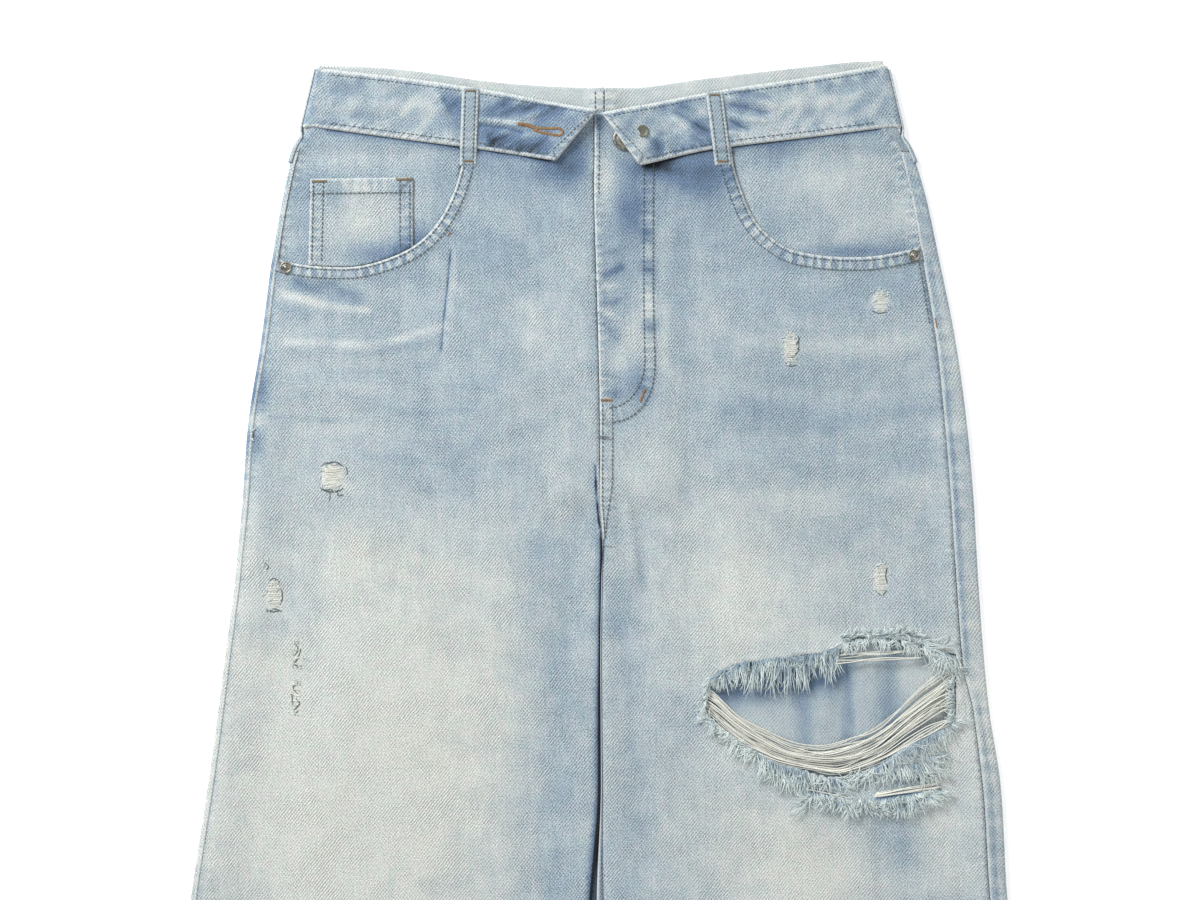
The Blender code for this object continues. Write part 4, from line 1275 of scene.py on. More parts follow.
def ragged(line, reach, seed):
    """A torn edge: the line moved to and fro across its run."""
    line = even(line, 1.3)
    rag = ripple(np.arange(len(line)) * 1.3, 0, 3.1, 1, seed)
    rag = rag + 0.6 * ripple(np.arange(len(line)) * 1.3, 0, 9, 1, seed + 1)
    rag[:2], rag[-2:] = 0, 0
    return line + (offset(line, 1) - line) * (rag * reach)[:, None]


HOLE_RING = np.vstack([ragged(smooth(RIP_UPPER, 2), 0.9, 31),
    ragged(smooth(RIP_LOWER, 2)[::-1], 0.9, 33)])
J_MIDDLE = (even(J_OUTER, count=100) + even(J_INNER, count=100)) / 2


def edge_line(curve, top, bottom, step=6):
    down = np.linspace(top, bottom, round((bottom - top) / step))
    return table(curve(down), down)


def front_seams(side):
    """Sewn and worn lines on a front panel."""
    inner = edge_line(INNER[side], 284, 358)
    hem = [(INNER[side](LENGTH), LENGTH), (seam_x(side, LENGTH), LENGTH)]
    seams = [(MOUTH_EDGE[side], 7.2 if side == RIGHT else 8.4, 1, 0.9),
        (edge_line(lambda d: seam_x(side, d), MOUTH_EDGE[side][-1, 1] + 3, LENGTH - 3), 6, 0.15,
        0.25), (inner, 9.5, 0.35 if side == LEFT else 0, 0.9 if side == LEFT else 0.2),
        (edge_line(INNER[side], CROTCH, LENGTH - 3), 7, 0.05, 0), (hem, 16, 0.9, 0.9)]
    if side == LEFT:
        # The torn edge is worn white, which also paints light on the hole's cut wall
        seams.append((closed(HOLE_RING), 2, 0, 0.5))
        seams += [(FLY_EDGE, 4.5, 0.5, 0.9), (J_MIDDLE, 3.6, 0.42, 0)]
    return seams


def build_front(side, looks):
    ring = front_ring(side)
    down = stations(CROTCH - 50, LENGTH - 1)
    lines = [table(INNER[side](down) + side * reach, down) for reach in (0.8, 1.6, 2.4, 3.3)]
    lines += [mouth(side, reach) for reach in (0.3, 0.9, 1.9)]
    lines += [band_line(side, 1, side * 30, side * 212) + (0, reach) for reach in (-0.6, 0.5, 1.6,
        2.8)]
    for line, width, _ in CREASES:
        if width < 2.7:
            lines += [offset(even(line, 2), side_step) for side_step in (-1.6, -0.7, 0, 0.7, 1.6)]
    hole = None
    if side == LEFT:
        down = np.linspace(42, FLY_FOOT, 90)
        lines += [table(INNER[LEFT](down) + reach, down) for reach in (0.5, 1.2, 2.4, 4.2, 5.6)]
        lines += [offset(even(J_OUTER, 2.4), -1.6)]
        hole = HOLE_RING
    flat, faces = plate(ring, hole=hole, extra=lines)
    reach, down = side * (flat[:, 0] - INNER[side](flat[:, 1])), flat[:, 1]
    x, z = rolled(side, reach, down, top=True)
    z = z + z_panel(side, x, down) - z_front(side, x, down)
    tone, warm = front_wash(flat[:, 0], down)
    # Painted shadow in the gap between the legs, along the front's inner edge
    leg_gap_shadow = 2.6 * hump(reach, mix(2, 2.9, fade(np.abs(down - 560), 60, 130)))
    leg_gap_shadow = leg_gap_shadow + 0.22 * hump(reach, 7) if side == RIGHT else 1.8 * hump(reach, 1)
    tone = tone - leg_gap_shadow * (1 - fade(down, 352, 360))
    return cloth("front_" + WORD[side], table(x, down, z), faces, looks, flat,
        (tone, warm), sewn(flat[:, 0], down, front_seams(side)))


# ---- backs ----
def build_back(side, node, curves, looks, edges):
    """A back panel or yoke: under the leg, round its outer fold and up to the side seam."""
    reaches = np.array([GAP / 2, 0.8, 1.6, 2.4, 3.3])
    shares = joined([0.035, 0.06, 0.09], np.linspace(0.12, 0.87, 50), [0.905, 0.94, 0.965])
    points, weave = [], []
    for curve in curves:
        edge = float(curve(side * OUTER[side](200)))
        near = inner_x(side, curve(0), top=False) + side * reaches
        down = joined(curve(near), curve(shares * side * 230))
        inner = inner_x(side, down, top=False)
        x, z = rolled(side, reaches, down[:5], top=False)
        part = np.clip((INNER[LEFT](edge) - INNER[RIGHT](edge)) / 2 - 0.2, 0, 4.6)
        x = x - side * part * fade(edge, CROTCH + 40, CROTCH) * np.linspace(1, 0.2, 5)
        flat_x = inner[5:] + (side * OUTER[side](down[5:]) - inner[5:]) * shares
        x = joined(x, flat_x)
        z = joined(z, z_back(side, flat_x, down[5:]))
        fold_x, fold_z, radius = outer_fold(side, edge)
        turn = np.radians(np.linspace(-90, 90, 13))
        seam = seam_x(side, edge, gap=0)
        top = np.linspace(fold_x, seam, 5)[1:]
        ridge = 0.7 * hump(np.abs(top - seam) - 2, 2.2) - pillow(np.abs(top - seam), 0.45)
        x = joined(x, fold_x + side * radius * np.cos(turn), top)
        z = joined(z, fold_z + radius * np.sin(turn), z_front(side, top, edge)
            + ridge * fade(edge, 156, 130))
        down = joined(down, np.full(17, edge))
        line = table(x, down, z)
        run = run_along(line)
        points.append(line)
        weave.append(table(side * run + 1000, down))
    columns = len(points[0])
    points, weave = np.vstack(points), np.vstack(weave)
    x, down = points[:, 0], points[:, 1]
    tone, warm = front_wash(x * 0.985, down)
    waist, folds = fade(down, 26, 60), hump(x - 152, 6) + hump(x - 185, 4) + hump(x - 216, 7)
    lining = 0.98 + 0.13 * ripple(x, down, 9, 5, 12)
    # Painted shade in the troughs of the back's folds, where the torn hole shows them
    tone = mix(tone - 0.05, lining, waist) - 0.42 * folds * fade(np.abs(down - 485), 30, 70)
    warm = mix(warm, 0.5, waist)
    if side == LEFT:
        # Painted shadow of the upper fringe on the back, seen through the hole
        shade = hump(down - 20 - profile(RIP_UPPER)(x), 9) * fade(np.abs(x - 130), 45, 62)
        tone = tone - 0.8 * shade
    column_at = np.tile(np.arange(columns), len(curves))
    wrapped = column_at >= columns - 14
    tone = tone + np.where(wrapped, EDGE_TONE[side](down), 0)
    warm = warm + np.where(wrapped, 0.12, 0)
    seams = [(line, 8, 0.8, 0.4) for line in edges]
    along, away, ladder, edging = sewn(x, down, seams)
    reach = np.abs(x - seam_x(side, down, 0))
    along = np.where(wrapped, down * 0.5, along)
    away = np.where(wrapped, reach * 0.75, away)
    ladder = np.where(wrapped, 0.35 * fade(reach, 9, 13), ladder)
    edging = np.where(wrapped, 0.75, edging)
    # Painted shadow in the gap between the legs, along the back's inner edge
    leg_gap_shadow = np.where((column_at < 6) & (down > CROTCH), (6 - column_at) / 6, 0)
    tone = tone - leg_gap_shadow * (1.3 if side == RIGHT else 0.1) * mix(1, 2, fade(down, 540, 620))
    return cloth(node, points, grid_faces(len(curves), columns), looks, weave,
        (tone, warm), (along, away, ladder, edging), upward=False)


def between(upper, lower, shares):
    """Curves over X at the given shares of the way from one curve to another."""
    return [lambda x, share=share: mix(upper(x), lower(x), share) for share in shares]


def build_backs(side, looks):
    band_foot = lambda x: band_low_back(x) + 1.5
    yoke_foot = lambda x: yoke_seam(np.abs(x)) - GAP / 2
    leg_head = lambda x: yoke_seam(np.abs(x)) + GAP / 2
    level = lambda down: lambda x: down + 0 * x
    yoke_rows = between(back_top, band_foot, (0, 0.03, 0.1, 0.25, 0.45, 0.65, 0.85, 1))
    yoke_rows += between(band_foot, yoke_foot, (0.2, 0.4, 0.6, 0.8, 1))
    back_rows = between(leg_head, level(100), (0, 0.3, 0.65))
    back_rows += map(level, stations(100, LENGTH, 4, 9))
    across_seam = ((0, 88), (side * 250, 66))
    return (build_back(side, "yoke_" + WORD[side], yoke_rows, looks,
        [across_seam, ((BACK_SEAM_X, 0), (BACK_SEAM_X, 90))]),
        build_back(side, "back_" + WORD[side], back_rows, looks,
        [across_seam, ((BACK_SEAM_X, 90), (1, CROTCH)), ((0, LENGTH), (side * 354, LENGTH))]))


# ---- pockets ----
def build_facing(side, looks):
    tuck = lambda down: mix(-GAP, 12, fade(down, 104, 82))
    edge = lambda down: seam_x(side, down, gap=-1.6)
    inner = mouth(side, tuck)
    top_x = float(edge(10))
    down = np.linspace(inner[-1, 1], FOLD[side](abs(top_x)) + GAP, 50)
    side_edge = table(edge(down), down)
    x = np.linspace(top_x, inner[0, 0], 46)
    waist = table(x, FOLD[side](np.abs(x)) + GAP)
    flat, faces = plate(np.vstack([inner[:-1], side_edge, waist[1:-1]]),
        extra=[band_line(side, 1, side * 90, side * 212) + (0, reach) for reach in (-0.6, 0.5, 1.6,
        2.8)])
    x, down = flat.T
    z = z_facing(side, x, down) - 0.3 * fade(to_line(x, down, MOUTH_EDGE[side])[0], 3, 16)
    z = z + 0.5 * fade(np.abs(edge(down) - x), 2.5, 8)
    tone, warm = washed(x, down, POCKET_FADES_AND_SHADOW, 0.5, 0.25)
    seams = [(edge_line(lambda d: seam_x(side, d), 40, 150), 5, 0.5, 0.3)]
    # Painted contact shadow under the band's lower edge, on the facing too
    return cloth("pocket_facing_" + WORD[side], table(x, down, z), faces, looks,
        flat, (tone - band_edge_shadow(x, down), warm), sewn(x, down, seams))


COIN_CORNERS = ((-142, 87.5), (-218.5, 88.5))


def coin_lines():
    """The coin pocket's two sides and top edge, each from its upper or left end."""
    low = lambda x: float(np.interp(x, MOUTH_EDGE[RIGHT][::-1, 0], MOUTH_EDGE[RIGHT][::-1, 1]))
    return (np.array([COIN_CORNERS[1], (-220, low(-220) - 0.8)]),
        np.array([COIN_CORNERS[0], (-142, low(-142) - 0.8)]),
        np.array([COIN_CORNERS[1], COIN_CORNERS[0]]))


def z_coin(x, down):
    away = np.min([to_line(x, down, line)[0] for line in coin_lines()], axis=0)
    z = z_facing(RIGHT, x, down) + PITCH - pillow(away, 0.7)
    top = np.abs(down - mix(88.5, 87.5, (x + 218.5) / 76.5))
    return z + 0.5 * fade(top, 11, 13) + 0.3 * fade(away, 2, 5)


def build_coin_pocket(looks):
    foot = mouth(RIGHT, -0.8, step=2)
    foot = foot[(foot[:, 0] > -220) & (foot[:, 0] < -142) & (foot[:, 1] > 107)]
    sides = coin_lines()
    ring = np.vstack([even(sides[1], 2), foot, even(sides[0], 2)[::-1], even(sides[2], 2)[1:-1]])
    inner = [even(mix(line, [(-180, 120)] * 2, 0.025), 2) for line in sides]
    flat, faces = plate(ring, extra=inner, step=2.2)
    x, down = flat.T
    seams = [(sides[0], 7.5, 0.45, 0.8), (sides[1], 7.5, 0.45, 0.8), (sides[2], 9.5, 0.4, 0.6)]
    return cloth("coin_pocket", table(x, down, z_coin(x, down)), faces, looks, flat,
        washed(x, down, COIN_FADES, 0.61, 0.3), sewn(x, down, seams))


def back_pocket_ring(side, inset=0):
    corners = ((44, 106), (180, 106), (175, 226), (112, 251), (49, 226))
    return np.array([(side * (112 + (x - 112) * (1 - inset / 68)),
        178 + (d - 178) * (1 - inset / 72)) for x, d in corners])


def build_back_pocket(side, looks):
    ring = back_pocket_ring(side)
    flat, faces = plate(even(closed(ring), 5)[:-1], step=5)
    x, down = flat.T
    edge = closed(ring)
    away = to_line(x, down, edge)[0]
    z = WALL / 2 + pillow(away, 0.5)
    return cloth("back_pocket_" + WORD[side], table(x, down, z), faces, looks,
        flat, washed(x, down, ((side * 112, 170, 50, 50, 0.2, 0.3),), 0.42, 0.2),
        sewn(x, down, [(edge, 9, 0.8, 0.8)]), upward=False)


def build_shield(looks):
    down, across_x = np.meshgrid(np.linspace(84, 276, 60), np.linspace(-8, 31, 12), indexing="ij")
    x = INNER[LEFT](down) + across_x
    z = Z_FLY - PITCH + relief(x, down) - 0.2
    points = table(x.ravel(), down.ravel(), z.ravel())
    return cloth("fly_shield", points, grid_faces(60, 12), looks, points[:, :2],
        (0.35, 0.2), (0, 60, 0, 0))


# ---- waistband and loops ----
def band_side(side, share):
    """Level, fold centre X, centre Z and radius of the band at the side of the waist."""
    down = mix(4, 49.5, share)
    radius = (Z_HIP + BAND_RISE - Z_BAND_BACK) / 2
    centre = side * (band_outer(down) - radius - BAND_WALL / 2)
    return down, centre, Z_BAND_BACK + radius, radius


def flap_end(side, down):
    """X of the band's free end at a level."""
    share = (down - 40) / 44
    return mix(*FLAP_END[side], share)


def z_band(side, x, down):
    """Middle of the turned-down band in front, its free end standing off the fly."""
    end = side * (x - flap_end(side, down))
    z = z_front(side, x, down) + BAND_RISE + 1.7 * creased(x, down, BAND_CREASES)
    z = z + 0.16 * ripple(x, down, 9, 7, 14) * fade(215 - np.abs(x), 12, 4)
    z = z + 5.6 * fade(end, 2, 46) * mix(0.5, 1, fade(down, 44, 84))
    if side == LEFT:
        z = z + 2 * fade(np.hypot(x - BUTTON_AT[0], down - BUTTON_AT[1]), 13, 34)
    return z


def build_band(side, looks):
    """Half the waistband: from its free end in front, round the side, to the back seam."""
    rim = (0, 0.12, 0.45, 0.95, 1.6)
    width = BAND_WIDTH
    edges = joined(rim, np.linspace(3, width - 3, 30), width - np.array(rim)[::-1])
    free = joined(rim, np.arange(2.8, 215, 1.5))
    points, weave, rims = [], [], []
    for t in edges:
        share = t / width
        level_at, centre, centre_z, radius = band_side(side, share)
        start = mix(*FLAP_END[side], share)
        reach = abs(centre - start)
        stops = joined(free[free < reach - 1], [reach])
        stops = np.interp(np.linspace(0, 1, 150), np.linspace(0, 1, len(stops)), stops)
        stops[:5] = rim
        x = start + side * stops
        down = mix(FOLD[side](np.abs(x)), LOW[side](np.abs(x)), share)
        drop = pillow(min(t, width - t), 1.3)
        end_drop = pillow(stops, 1.3)
        z = z_band(side, x, down) - np.maximum(drop, end_drop)
        turn = np.radians(np.linspace(90, -90, 15))[1:]
        back_x = BACK_SEAM_X + side * joined(np.linspace(190, 14, 40), [12, 9.5, 7, GAP / 2])
        on_loop = (WALL + GAP) * fade(np.abs(back_x - BACK_SEAM_X), 7, 12)
        back_down = mix(back_top(back_x), band_low_back(back_x), share)
        x = joined(x, centre + side * (radius - drop) * np.cos(turn), back_x)
        z = joined(z, centre_z + (radius - drop) * np.sin(turn), Z_BAND_BACK + on_loop + drop)
        line = table(x, joined(down, np.full(14, level_at), back_down), z)
        run = run_along(line)
        points.append(line)
        weave.append(table(start + side * run, t))
        rims.append(table(run, min(t, width - t), t))
    columns = len(points[0])
    points, weave, rims = np.vstack(points), np.vstack(weave), np.vstack(rims)
    from_end = rims[:, 0]
    away = np.minimum(rims[:, 1], from_end)
    along = np.where(from_end < rims[:, 1], rims[:, 2] + 400, from_end)
    ladder = np.where(rims[:, 2] > width / 2, 0.6, 0.3) * fade(away, 4.5, 7)
    tone, warm = washed(points[:, 0], points[:, 1], BAND_FADES, 0.62, 0.1)
    # Crease ridges worn paler; the darker troughs are painted shade
    tone = tone + 0.42 * creased(points[:, 0], points[:, 1], BAND_CREASES)
    slant = points[:, 0] + 0.7 * points[:, 1]
    tone = tone + 0.16 * np.tanh(2.5 * ripple(slant, points[:, 1], 7, 9, 51))
    return cloth("waistband_" + WORD[side], points, grid_faces(len(edges), columns), looks,
        weave, (tone, warm), (along, away * 0.65, ladder, 1), BAND_WALL)


def loop_place(side, share, aside):
    """A place on a front loop: share down its length, aside from its middle line."""
    top_x, low_x = LOOP_FRONT[side]
    fold, low = FOLD[side](abs(top_x)), LOW[side](abs(low_x))
    down = mix(fold + 0.3, low + 14, share) + 0 * aside
    x = mix(top_x, low_x, share) + aside
    over = z_band(side, x, np.minimum(down, low)) + BAND_RISE
    panel = z_front(side, x, down) + WALL + GAP
    z = mix(panel, over, fade(down, low + 0.5, low + 6))
    tack = fade(share, 0.05, 0.1) + (1 - fade(share, 0.9, 0.95))
    return x, down, z + 0.5 * (1 - tack) - 0.25 * hump(np.abs(aside) - 3.9, 0.9)


def build_front_loop(side, looks):
    rim = np.array((0, 0.1, 0.4, 0.9))
    sides = joined(rim, np.linspace(1.8, LOOP_WIDTH - 1.8, 9), LOOP_WIDTH - rim[::-1])
    share, aside = np.meshgrid(np.linspace(0, 1, 46), sides - LOOP_WIDTH / 2, indexing="ij")
    share, aside = share.ravel(), aside.ravel()
    x, down, z = loop_place(side, share, aside)
    edge = np.minimum(LOOP_WIDTH / 2 - np.abs(aside), FRONT_LOOP * (1 - share))
    z = z - pillow(edge, 0.8)
    tone, warm = washed(x, down, (), 0.54, 0.24)
    tone = tone - 0.1 * (1 - fade(share, 0.85, 0.95))
    return cloth("belt_loop_front_" + WORD[side], table(x, down, z), grid_faces(46, len(sides)),
        looks, table(aside, share * FRONT_LOOP), (tone, warm),
        (share * FRONT_LOOP, LOOP_WIDTH / 2 - np.abs(aside), 0.25, 0.7))


def build_side_loop(side, looks):
    """A loop on the side seam, bent round the edge of the band and sewn to the panel."""
    points, weave = [], []
    levels = np.linspace(6, 76, 40)
    for down in levels:
        _, band_x, band_z, radius = band_side(side, (down - 4) / 45.5)
        fold_x, fold_z, fold_radius = outer_fold(side, down)
        low = fade(down, 60, 52)
        x = mix(band_x, fold_x, low)
        z = mix(band_z, fold_z, low)
        bend = mix(radius + BAND_RISE, fold_radius + WALL + GAP, low)
        bottom = math.degrees(math.asin(min(1, (z - 0.1) / (bend + WALL / 2 + 0.1))))
        share = np.linspace(0, 1, 14)
        turn = np.radians(mix(-min(bottom, 45), mix(15, 64, low), share))
        rise = 0.2 - pillow(np.minimum(share, 1 - share) * LOOP_WIDTH, 0.8)
        points.append(table(x + side * (bend + rise) * np.cos(turn), down,
            z + (bend + rise) * np.sin(turn)))
        weave.append(table(share * LOOP_WIDTH, down))
    points, weave = np.vstack(points), np.vstack(weave)
    away = LOOP_WIDTH / 2 - np.abs(weave[:, 0] - LOOP_WIDTH / 2)
    return cloth("belt_loop_side_" + WORD[side], points, grid_faces(40, 14), looks,
        weave, (0.62, 0.1), (weave[:, 1], away, 0.3, 0.8))


def build_back_loop(looks):
    down, aside = np.meshgrid(np.linspace(float(back_top(BACK_SEAM_X)) + 0.5, BACK_LOOP_END, 30),
        np.linspace(-LOOP_WIDTH / 2, LOOP_WIDTH / 2, 9), indexing="ij")
    down, aside = down.ravel(), aside.ravel()
    points = table(BACK_SEAM_X + aside, down, WALL / 2)
    return cloth("belt_loop_back", points, grid_faces(30, 9), looks, points[:, :2],
        (0.5, 0.2), (down, LOOP_WIDTH / 2 - np.abs(aside), 0.7, 0.7), upward=False)


# ---- sewing ----
def panel_top(side):
    return lambda x, down: z_panel(side, x, down) + WALL / 2


def back_under(side):
    return lambda x, down: z_back(side, x, down) - WALL / 2


def band_top(side):
    return lambda x, down: z_band(side, x, down) + BAND_WALL / 2


def band_line(side, share_at, x_from, x_to):
    """A line across the band, share_at of its depth from the fold."""
    x = np.linspace(x_from, x_to, 60)
    fold, low = FOLD[side](np.abs(x)), LOW[side](np.abs(x))
    return table(x, fold + (low - fold) * share_at)


def loop_line(side, aside):
    x, down, _ = loop_place(side, np.linspace(0.02, 0.97, 30), aside)
    return table(x, down)


def loop_top(side):
    top_x, low_x = LOOP_FRONT[side]
    fold, low = FOLD[side](abs(top_x)), LOW[side](abs(low_x))

    def height(x, down):
        share = (down - fold - 0.3) / (low + 13.7 - fold)
        return loop_place(side, share, x - mix(top_x, low_x, share))[2] + WALL / 2
    return height


def sewing_lines():
    """(line, height) of every run of topstitching, upper surfaces first."""
    lines, unders = [], []
    for side in SIDES:
        top, under = panel_top(side), back_under(side)
        band = lambda x, down, side=side: band_top(side)(x, down) - 0.25
        for reach in (1.7, 8.2) if side == RIGHT else (2.3, 9.4):
            lines.append((mouth(side, reach), top))
        bottom = LENGTH - 17
        foot = INNER[side](bottom) + side * 3
        lines.append((((seam_x(side, bottom) - side, bottom), (foot, bottom)), top))
        start, fold_end = FLAP_END[side][0] + side * 3.4, side * 206
        lines.append((band_line(side, 0.075, start + side * 3, fold_end), band))
        low_start = FLAP_END[side][1] + side * 2.2
        lines.append((band_line(side, 0.915, low_start + side * 1.5, fold_end), band))
        end = even([(start + side, FOLD[side](abs(start)) + 4),
            (low_start + side * 1.5, LOW[side](abs(low_start)) - 5)], 2)
        lines.append((end, band))
        for aside in (-3.7, 3.7):
            lines.append((loop_line(side, aside), loop_top(side)))
        pocket = back_pocket_ring(side, 2.2)
        for inset in (2.2, 8.2):
            ring = back_pocket_ring(side, inset)
            unders.append((np.vstack([ring[1:], ring[:1]]), lambda x, d: 0 * x))
        unders.append((pocket[:2] + (0, 12), lambda x, d: 0 * x))
        for reach in (1.6, 8):
            x = np.linspace(4, 236, 40)
            unders.append((table(side * x, yoke_seam(x) + reach), under))
        unders.append((((seam_x(side, bottom), bottom), (foot, bottom)), under))
    for reach in (1.5, 7.5):
        down = np.linspace(84, CROTCH - 8, 80)
        unders.append((table(inner_x(LEFT, down, False) + reach, down), back_under(LEFT)))
        down = np.linspace(256, 360, 60)
        squeeze = fade(down, 312, 364)
        lines.append((table(INNER[LEFT](down) + mix(1.4, reach * 1.25, squeeze), down),
            panel_top(LEFT)))
    for reach in (-7.2, -0.9):
        lines.append((((BACK_SEAM_X + reach, 21.5), (BACK_SEAM_X + reach, 44)),
            lambda x, d: z_back(RIGHT, x, d) + WALL / 2))
    lines += [(offset(FLY_EDGE, -3.2)[:16], panel_top(LEFT)), (J_OUTER, panel_top(LEFT)),
        (J_INNER, panel_top(LEFT))]
    side_run = edge_line(lambda d: seam_x(LEFT, d) - 3.4, 150, 200, 3)
    lines.append((side_run, panel_top(LEFT)))
    coin_top = lambda x, down: z_coin(x, down) + WALL / 2
    left, right, top = coin_lines()
    for reach in (2.2, 9.6):
        lines += [(left + (reach, 0), coin_top), (right - (reach, 0), coin_top)]
    lines.append((top + (0, 11), coin_top))
    return lines, unders


def tack_lines():
    """(line, width, height, how orange) of every bartack."""
    coin = lambda x, d: z_coin(x, d) + WALL / 2
    rows = [(((8, 254.4), (-0.6, 254.4)), 1.8, panel_top(LEFT), 0.9),
        (((28.8, 255.2), (32.2, 246)), 1.7, panel_top(LEFT), 0.8),
        (((250.2, 193), (251.6, 200.5)), 1.5, panel_top(LEFT), 0.7),
        (((-217.5, 90.4), (-206.5, 90.2)), 1.7, coin, 0.35),
        (((-154, 88.9), (-143.5, 88.6)), 1.7, coin, 0.35),
        (((-115.6, 130.8), (-113.4, 128.8)), 1, panel_top(RIGHT), 0.6)]
    for side in SIDES:
        for share, orange in ((0.035, 0.2), (0.945, 0.3)):
            x, down, _ = loop_place(side, share, np.array([-3.6, 3.6]))
            rows.append((table(x, down), 1.6, loop_top(side), orange))
    return rows


BUTTONHOLE = ((-48, 50.6), (-38.2, 51.1), (-32, 51.2), (-29.2, 53.7), (-32, 56.4), (-38.2, 55.4),
    (-46, 53.7), (-51, 52))
BUTTONHOLE_END = ((-62.8, 47.4), (-56, 48.4), (-48, 51.4))


def build_sewing(thread_set, seam_look, tack_look):
    dice = np.random.RandomState(21)
    pitch, length = thread_set.pitch * 1000, thread_set.stitch * 1000
    taper = np.array([0.55, 1, 1.05, 1, 0.55]) * thread_set.radius * 1000
    lines, unders = sewing_lines()
    tops = np.concatenate([stitches(even(line, 2), height, pitch, length, dice)
        for line, height in lines])
    lower = np.concatenate([stitches(even(line, 2), height, pitch, length, dice, sink=-0.5,
        proud=0.26) for line, height in unders])
    for name, rows, sides in (("topstitching", tops, 5), ("topstitching_back", lower, 4)):
        threads(name, rows, taper, seam_look, 0.5, dice.uniform(-1, 1, len(rows)), sides=sides)
    rows = tack_lines()
    tacks = [satin(line, width, height, 0.44, dice, proud=0.5) for line, width, height, _ in rows]
    tacks += [satin(smooth(BUTTONHOLE, 0.5), 2, band_top(RIGHT), 0.46, dice, proud=0.6),
        satin(smooth(BUTTONHOLE_END, 0.5), 3, band_top(RIGHT), 0.44, dice, proud=0.6)]
    orange = np.repeat([row[3] for row in rows] + [0.9, 0.75], [len(tack) for tack in tacks])
    tacks = np.concatenate(tacks)
    glow = dice.uniform(-1, 1, len(tacks))
    tint = orange[:, None] + dice.uniform(-0.35, 0.35, (len(tacks), 1))
    threads("bartacks", tacks, np.array([0.6, 1, 1, 1, 0.6]) * 0.25, tack_look, tint, glow)


# ---- torn knee and small worn places ----
# Loose threads across the hole: level of the uppermost and the lowest along X
STRAND_TOP = profile(((77, 470), (84, 474), (103, 491.5), (127, 504.5), (144, 511.5), (163, 514),
    (184, 509.5), (205, 500.5), (228, 481), (250, 462), (268, 450)))
STRAND_LOW = profile(((77, 492), (101, 510), (115, 519), (135, 529), (155, 533), (177, 536.5),
    (195, 532.5), (212, 525), (232, 512), (246, 504), (268, 493)))
# Frayed rows: line of the roots, lengths along it, lean in degrees from straight down, how
# wild the threads are, how white the roots are, and how far the tips sink
FRAYS = {"upper": ((((78.5, 465), (90, 457.5), (101, 452.5), (121, 450), (144, 447.5), (163, 443),
    (177, 441)), (5, 12, 17, 19, 23, 16, 17), -3, 0.75, -0.1, 0.6),
    (((80, 462), (101, 451), (152, 444), (178, 439)), (5, 9, 9, 8), 4, 1.2, -0.15, 0),
    (((79, 470), (82, 462)), (7, 8), 10, 1.2, 0.2, 0.3),
    (((178, 436), (190, 432.5), (209, 432), (229, 434), (243, 438)), (9, 9, 8, 9, 9), -8, 2.2, 0.45,
    0.3), (((178, 434), (196, 431), (228, 431.5), (240, 434)), (6, 6, 7, 7), -140, 2.6, 0.2, -0.4),
    (((236, 434), (240, 440), (244, 446)), (20, 23, 19), -80, 1.2, 0.3, 0.4),
    (((240, 440), (250, 443), (262, 449), (265, 459)), (15, 17, 13, 9), -42, 1.1, 0.3, 0.2),
    (((246, 439), (256, 441.5), (266, 445)), (11, 12, 11), -16, 1.4, 0.4, 0.2)),
    "middle": ((((78, 489), (94, 501), (108, 511), (119, 518)), (11, 13, 13, 12), 28, 1.6, 0.6, 0),
    (((80, 491), (94, 502), (108, 512), (119, 519)), (6, 7, 7, 6), 60, 2, 0.7, 0),
    (((117, 516), (128, 521.5), (144, 527), (155, 532)), (14, 17, 15, 14), 3, 1.3, -0.1, 0),
    (((118, 525), (135, 531), (155, 538)), (10, 12, 11), 6, 1.6, 0.1, 0),
    (((152, 531), (165, 535), (177, 536.5), (191, 533), (205, 527)), (13, 12, 14, 15, 13), -2, 2.6,
    0.45, 0),
    (((200, 528), (205, 526), (219, 517), (239, 506), (262, 495)), (12, 14, 15, 14, 11), -26, 1.2,
    -0.05, 0),
    (((206, 533), (222, 527), (240, 521), (256, 516)), (12, 13, 13, 12), -34, 1.5, 0.1, 0),
    (((226, 532), (244, 528), (252, 529)), (12, 13, 12), -42, 1.1, 0.75, 0),
    (((258, 496), (266, 493)), (9, 11), -75, 1.2, 0.4, 0),
    (((263, 456), (265, 468), (266, 480), (266, 492)), (6, 8, 7, 9), 60, 2.2, 0.4, 0),
    (((79, 472), (78.5, 482), (79, 490)), (4, 5, 6), 50, 2.2, 0.4, 0)),
    "lower": ((((161, 547), (157, 553), (158, 559)), (13, 14, 12), 62, 1.4, 0.55, 0),
    (((157.5, 549), (171, 553), (191, 556.5), (205, 557.5), (223, 556), (246, 549.5)),
    (9, 10, 9, 8, 9, 9), -4, 1.8, 0, 0),
    (((158, 546), (172, 549), (190, 552), (206, 552.5), (226, 550), (250, 544)), (7, 8, 8, 8, 8, 8),
    -14, 2.2, 0.4, -0.2),
    (((236, 552), (246, 549), (254, 545.5)), (11, 12, 12), -58, 1.4, 0.45, 0))}
# Small worn places: x, down, half width, half height, bare weft threads, dark broken ends
SPOTS = ((-202, 311.5, 9.2, 8.4, 24, 14), (-246.5, 401, 5.6, 10.5, 15, 12),
    (-229, 445, 3, 9, 4, 10), (-230, 476, 4.2, 12, 7, 12), (-252, 378, 2.5, 4, 3, 4),
    (208.5, 180, 6, 8, 12, 20), (141.5, 215, 5, 11, 18, 26), (209.5, 388, 4.6, 10.5, 15, 12),
    (-262, 280, 2.5, 3, 2, 4))
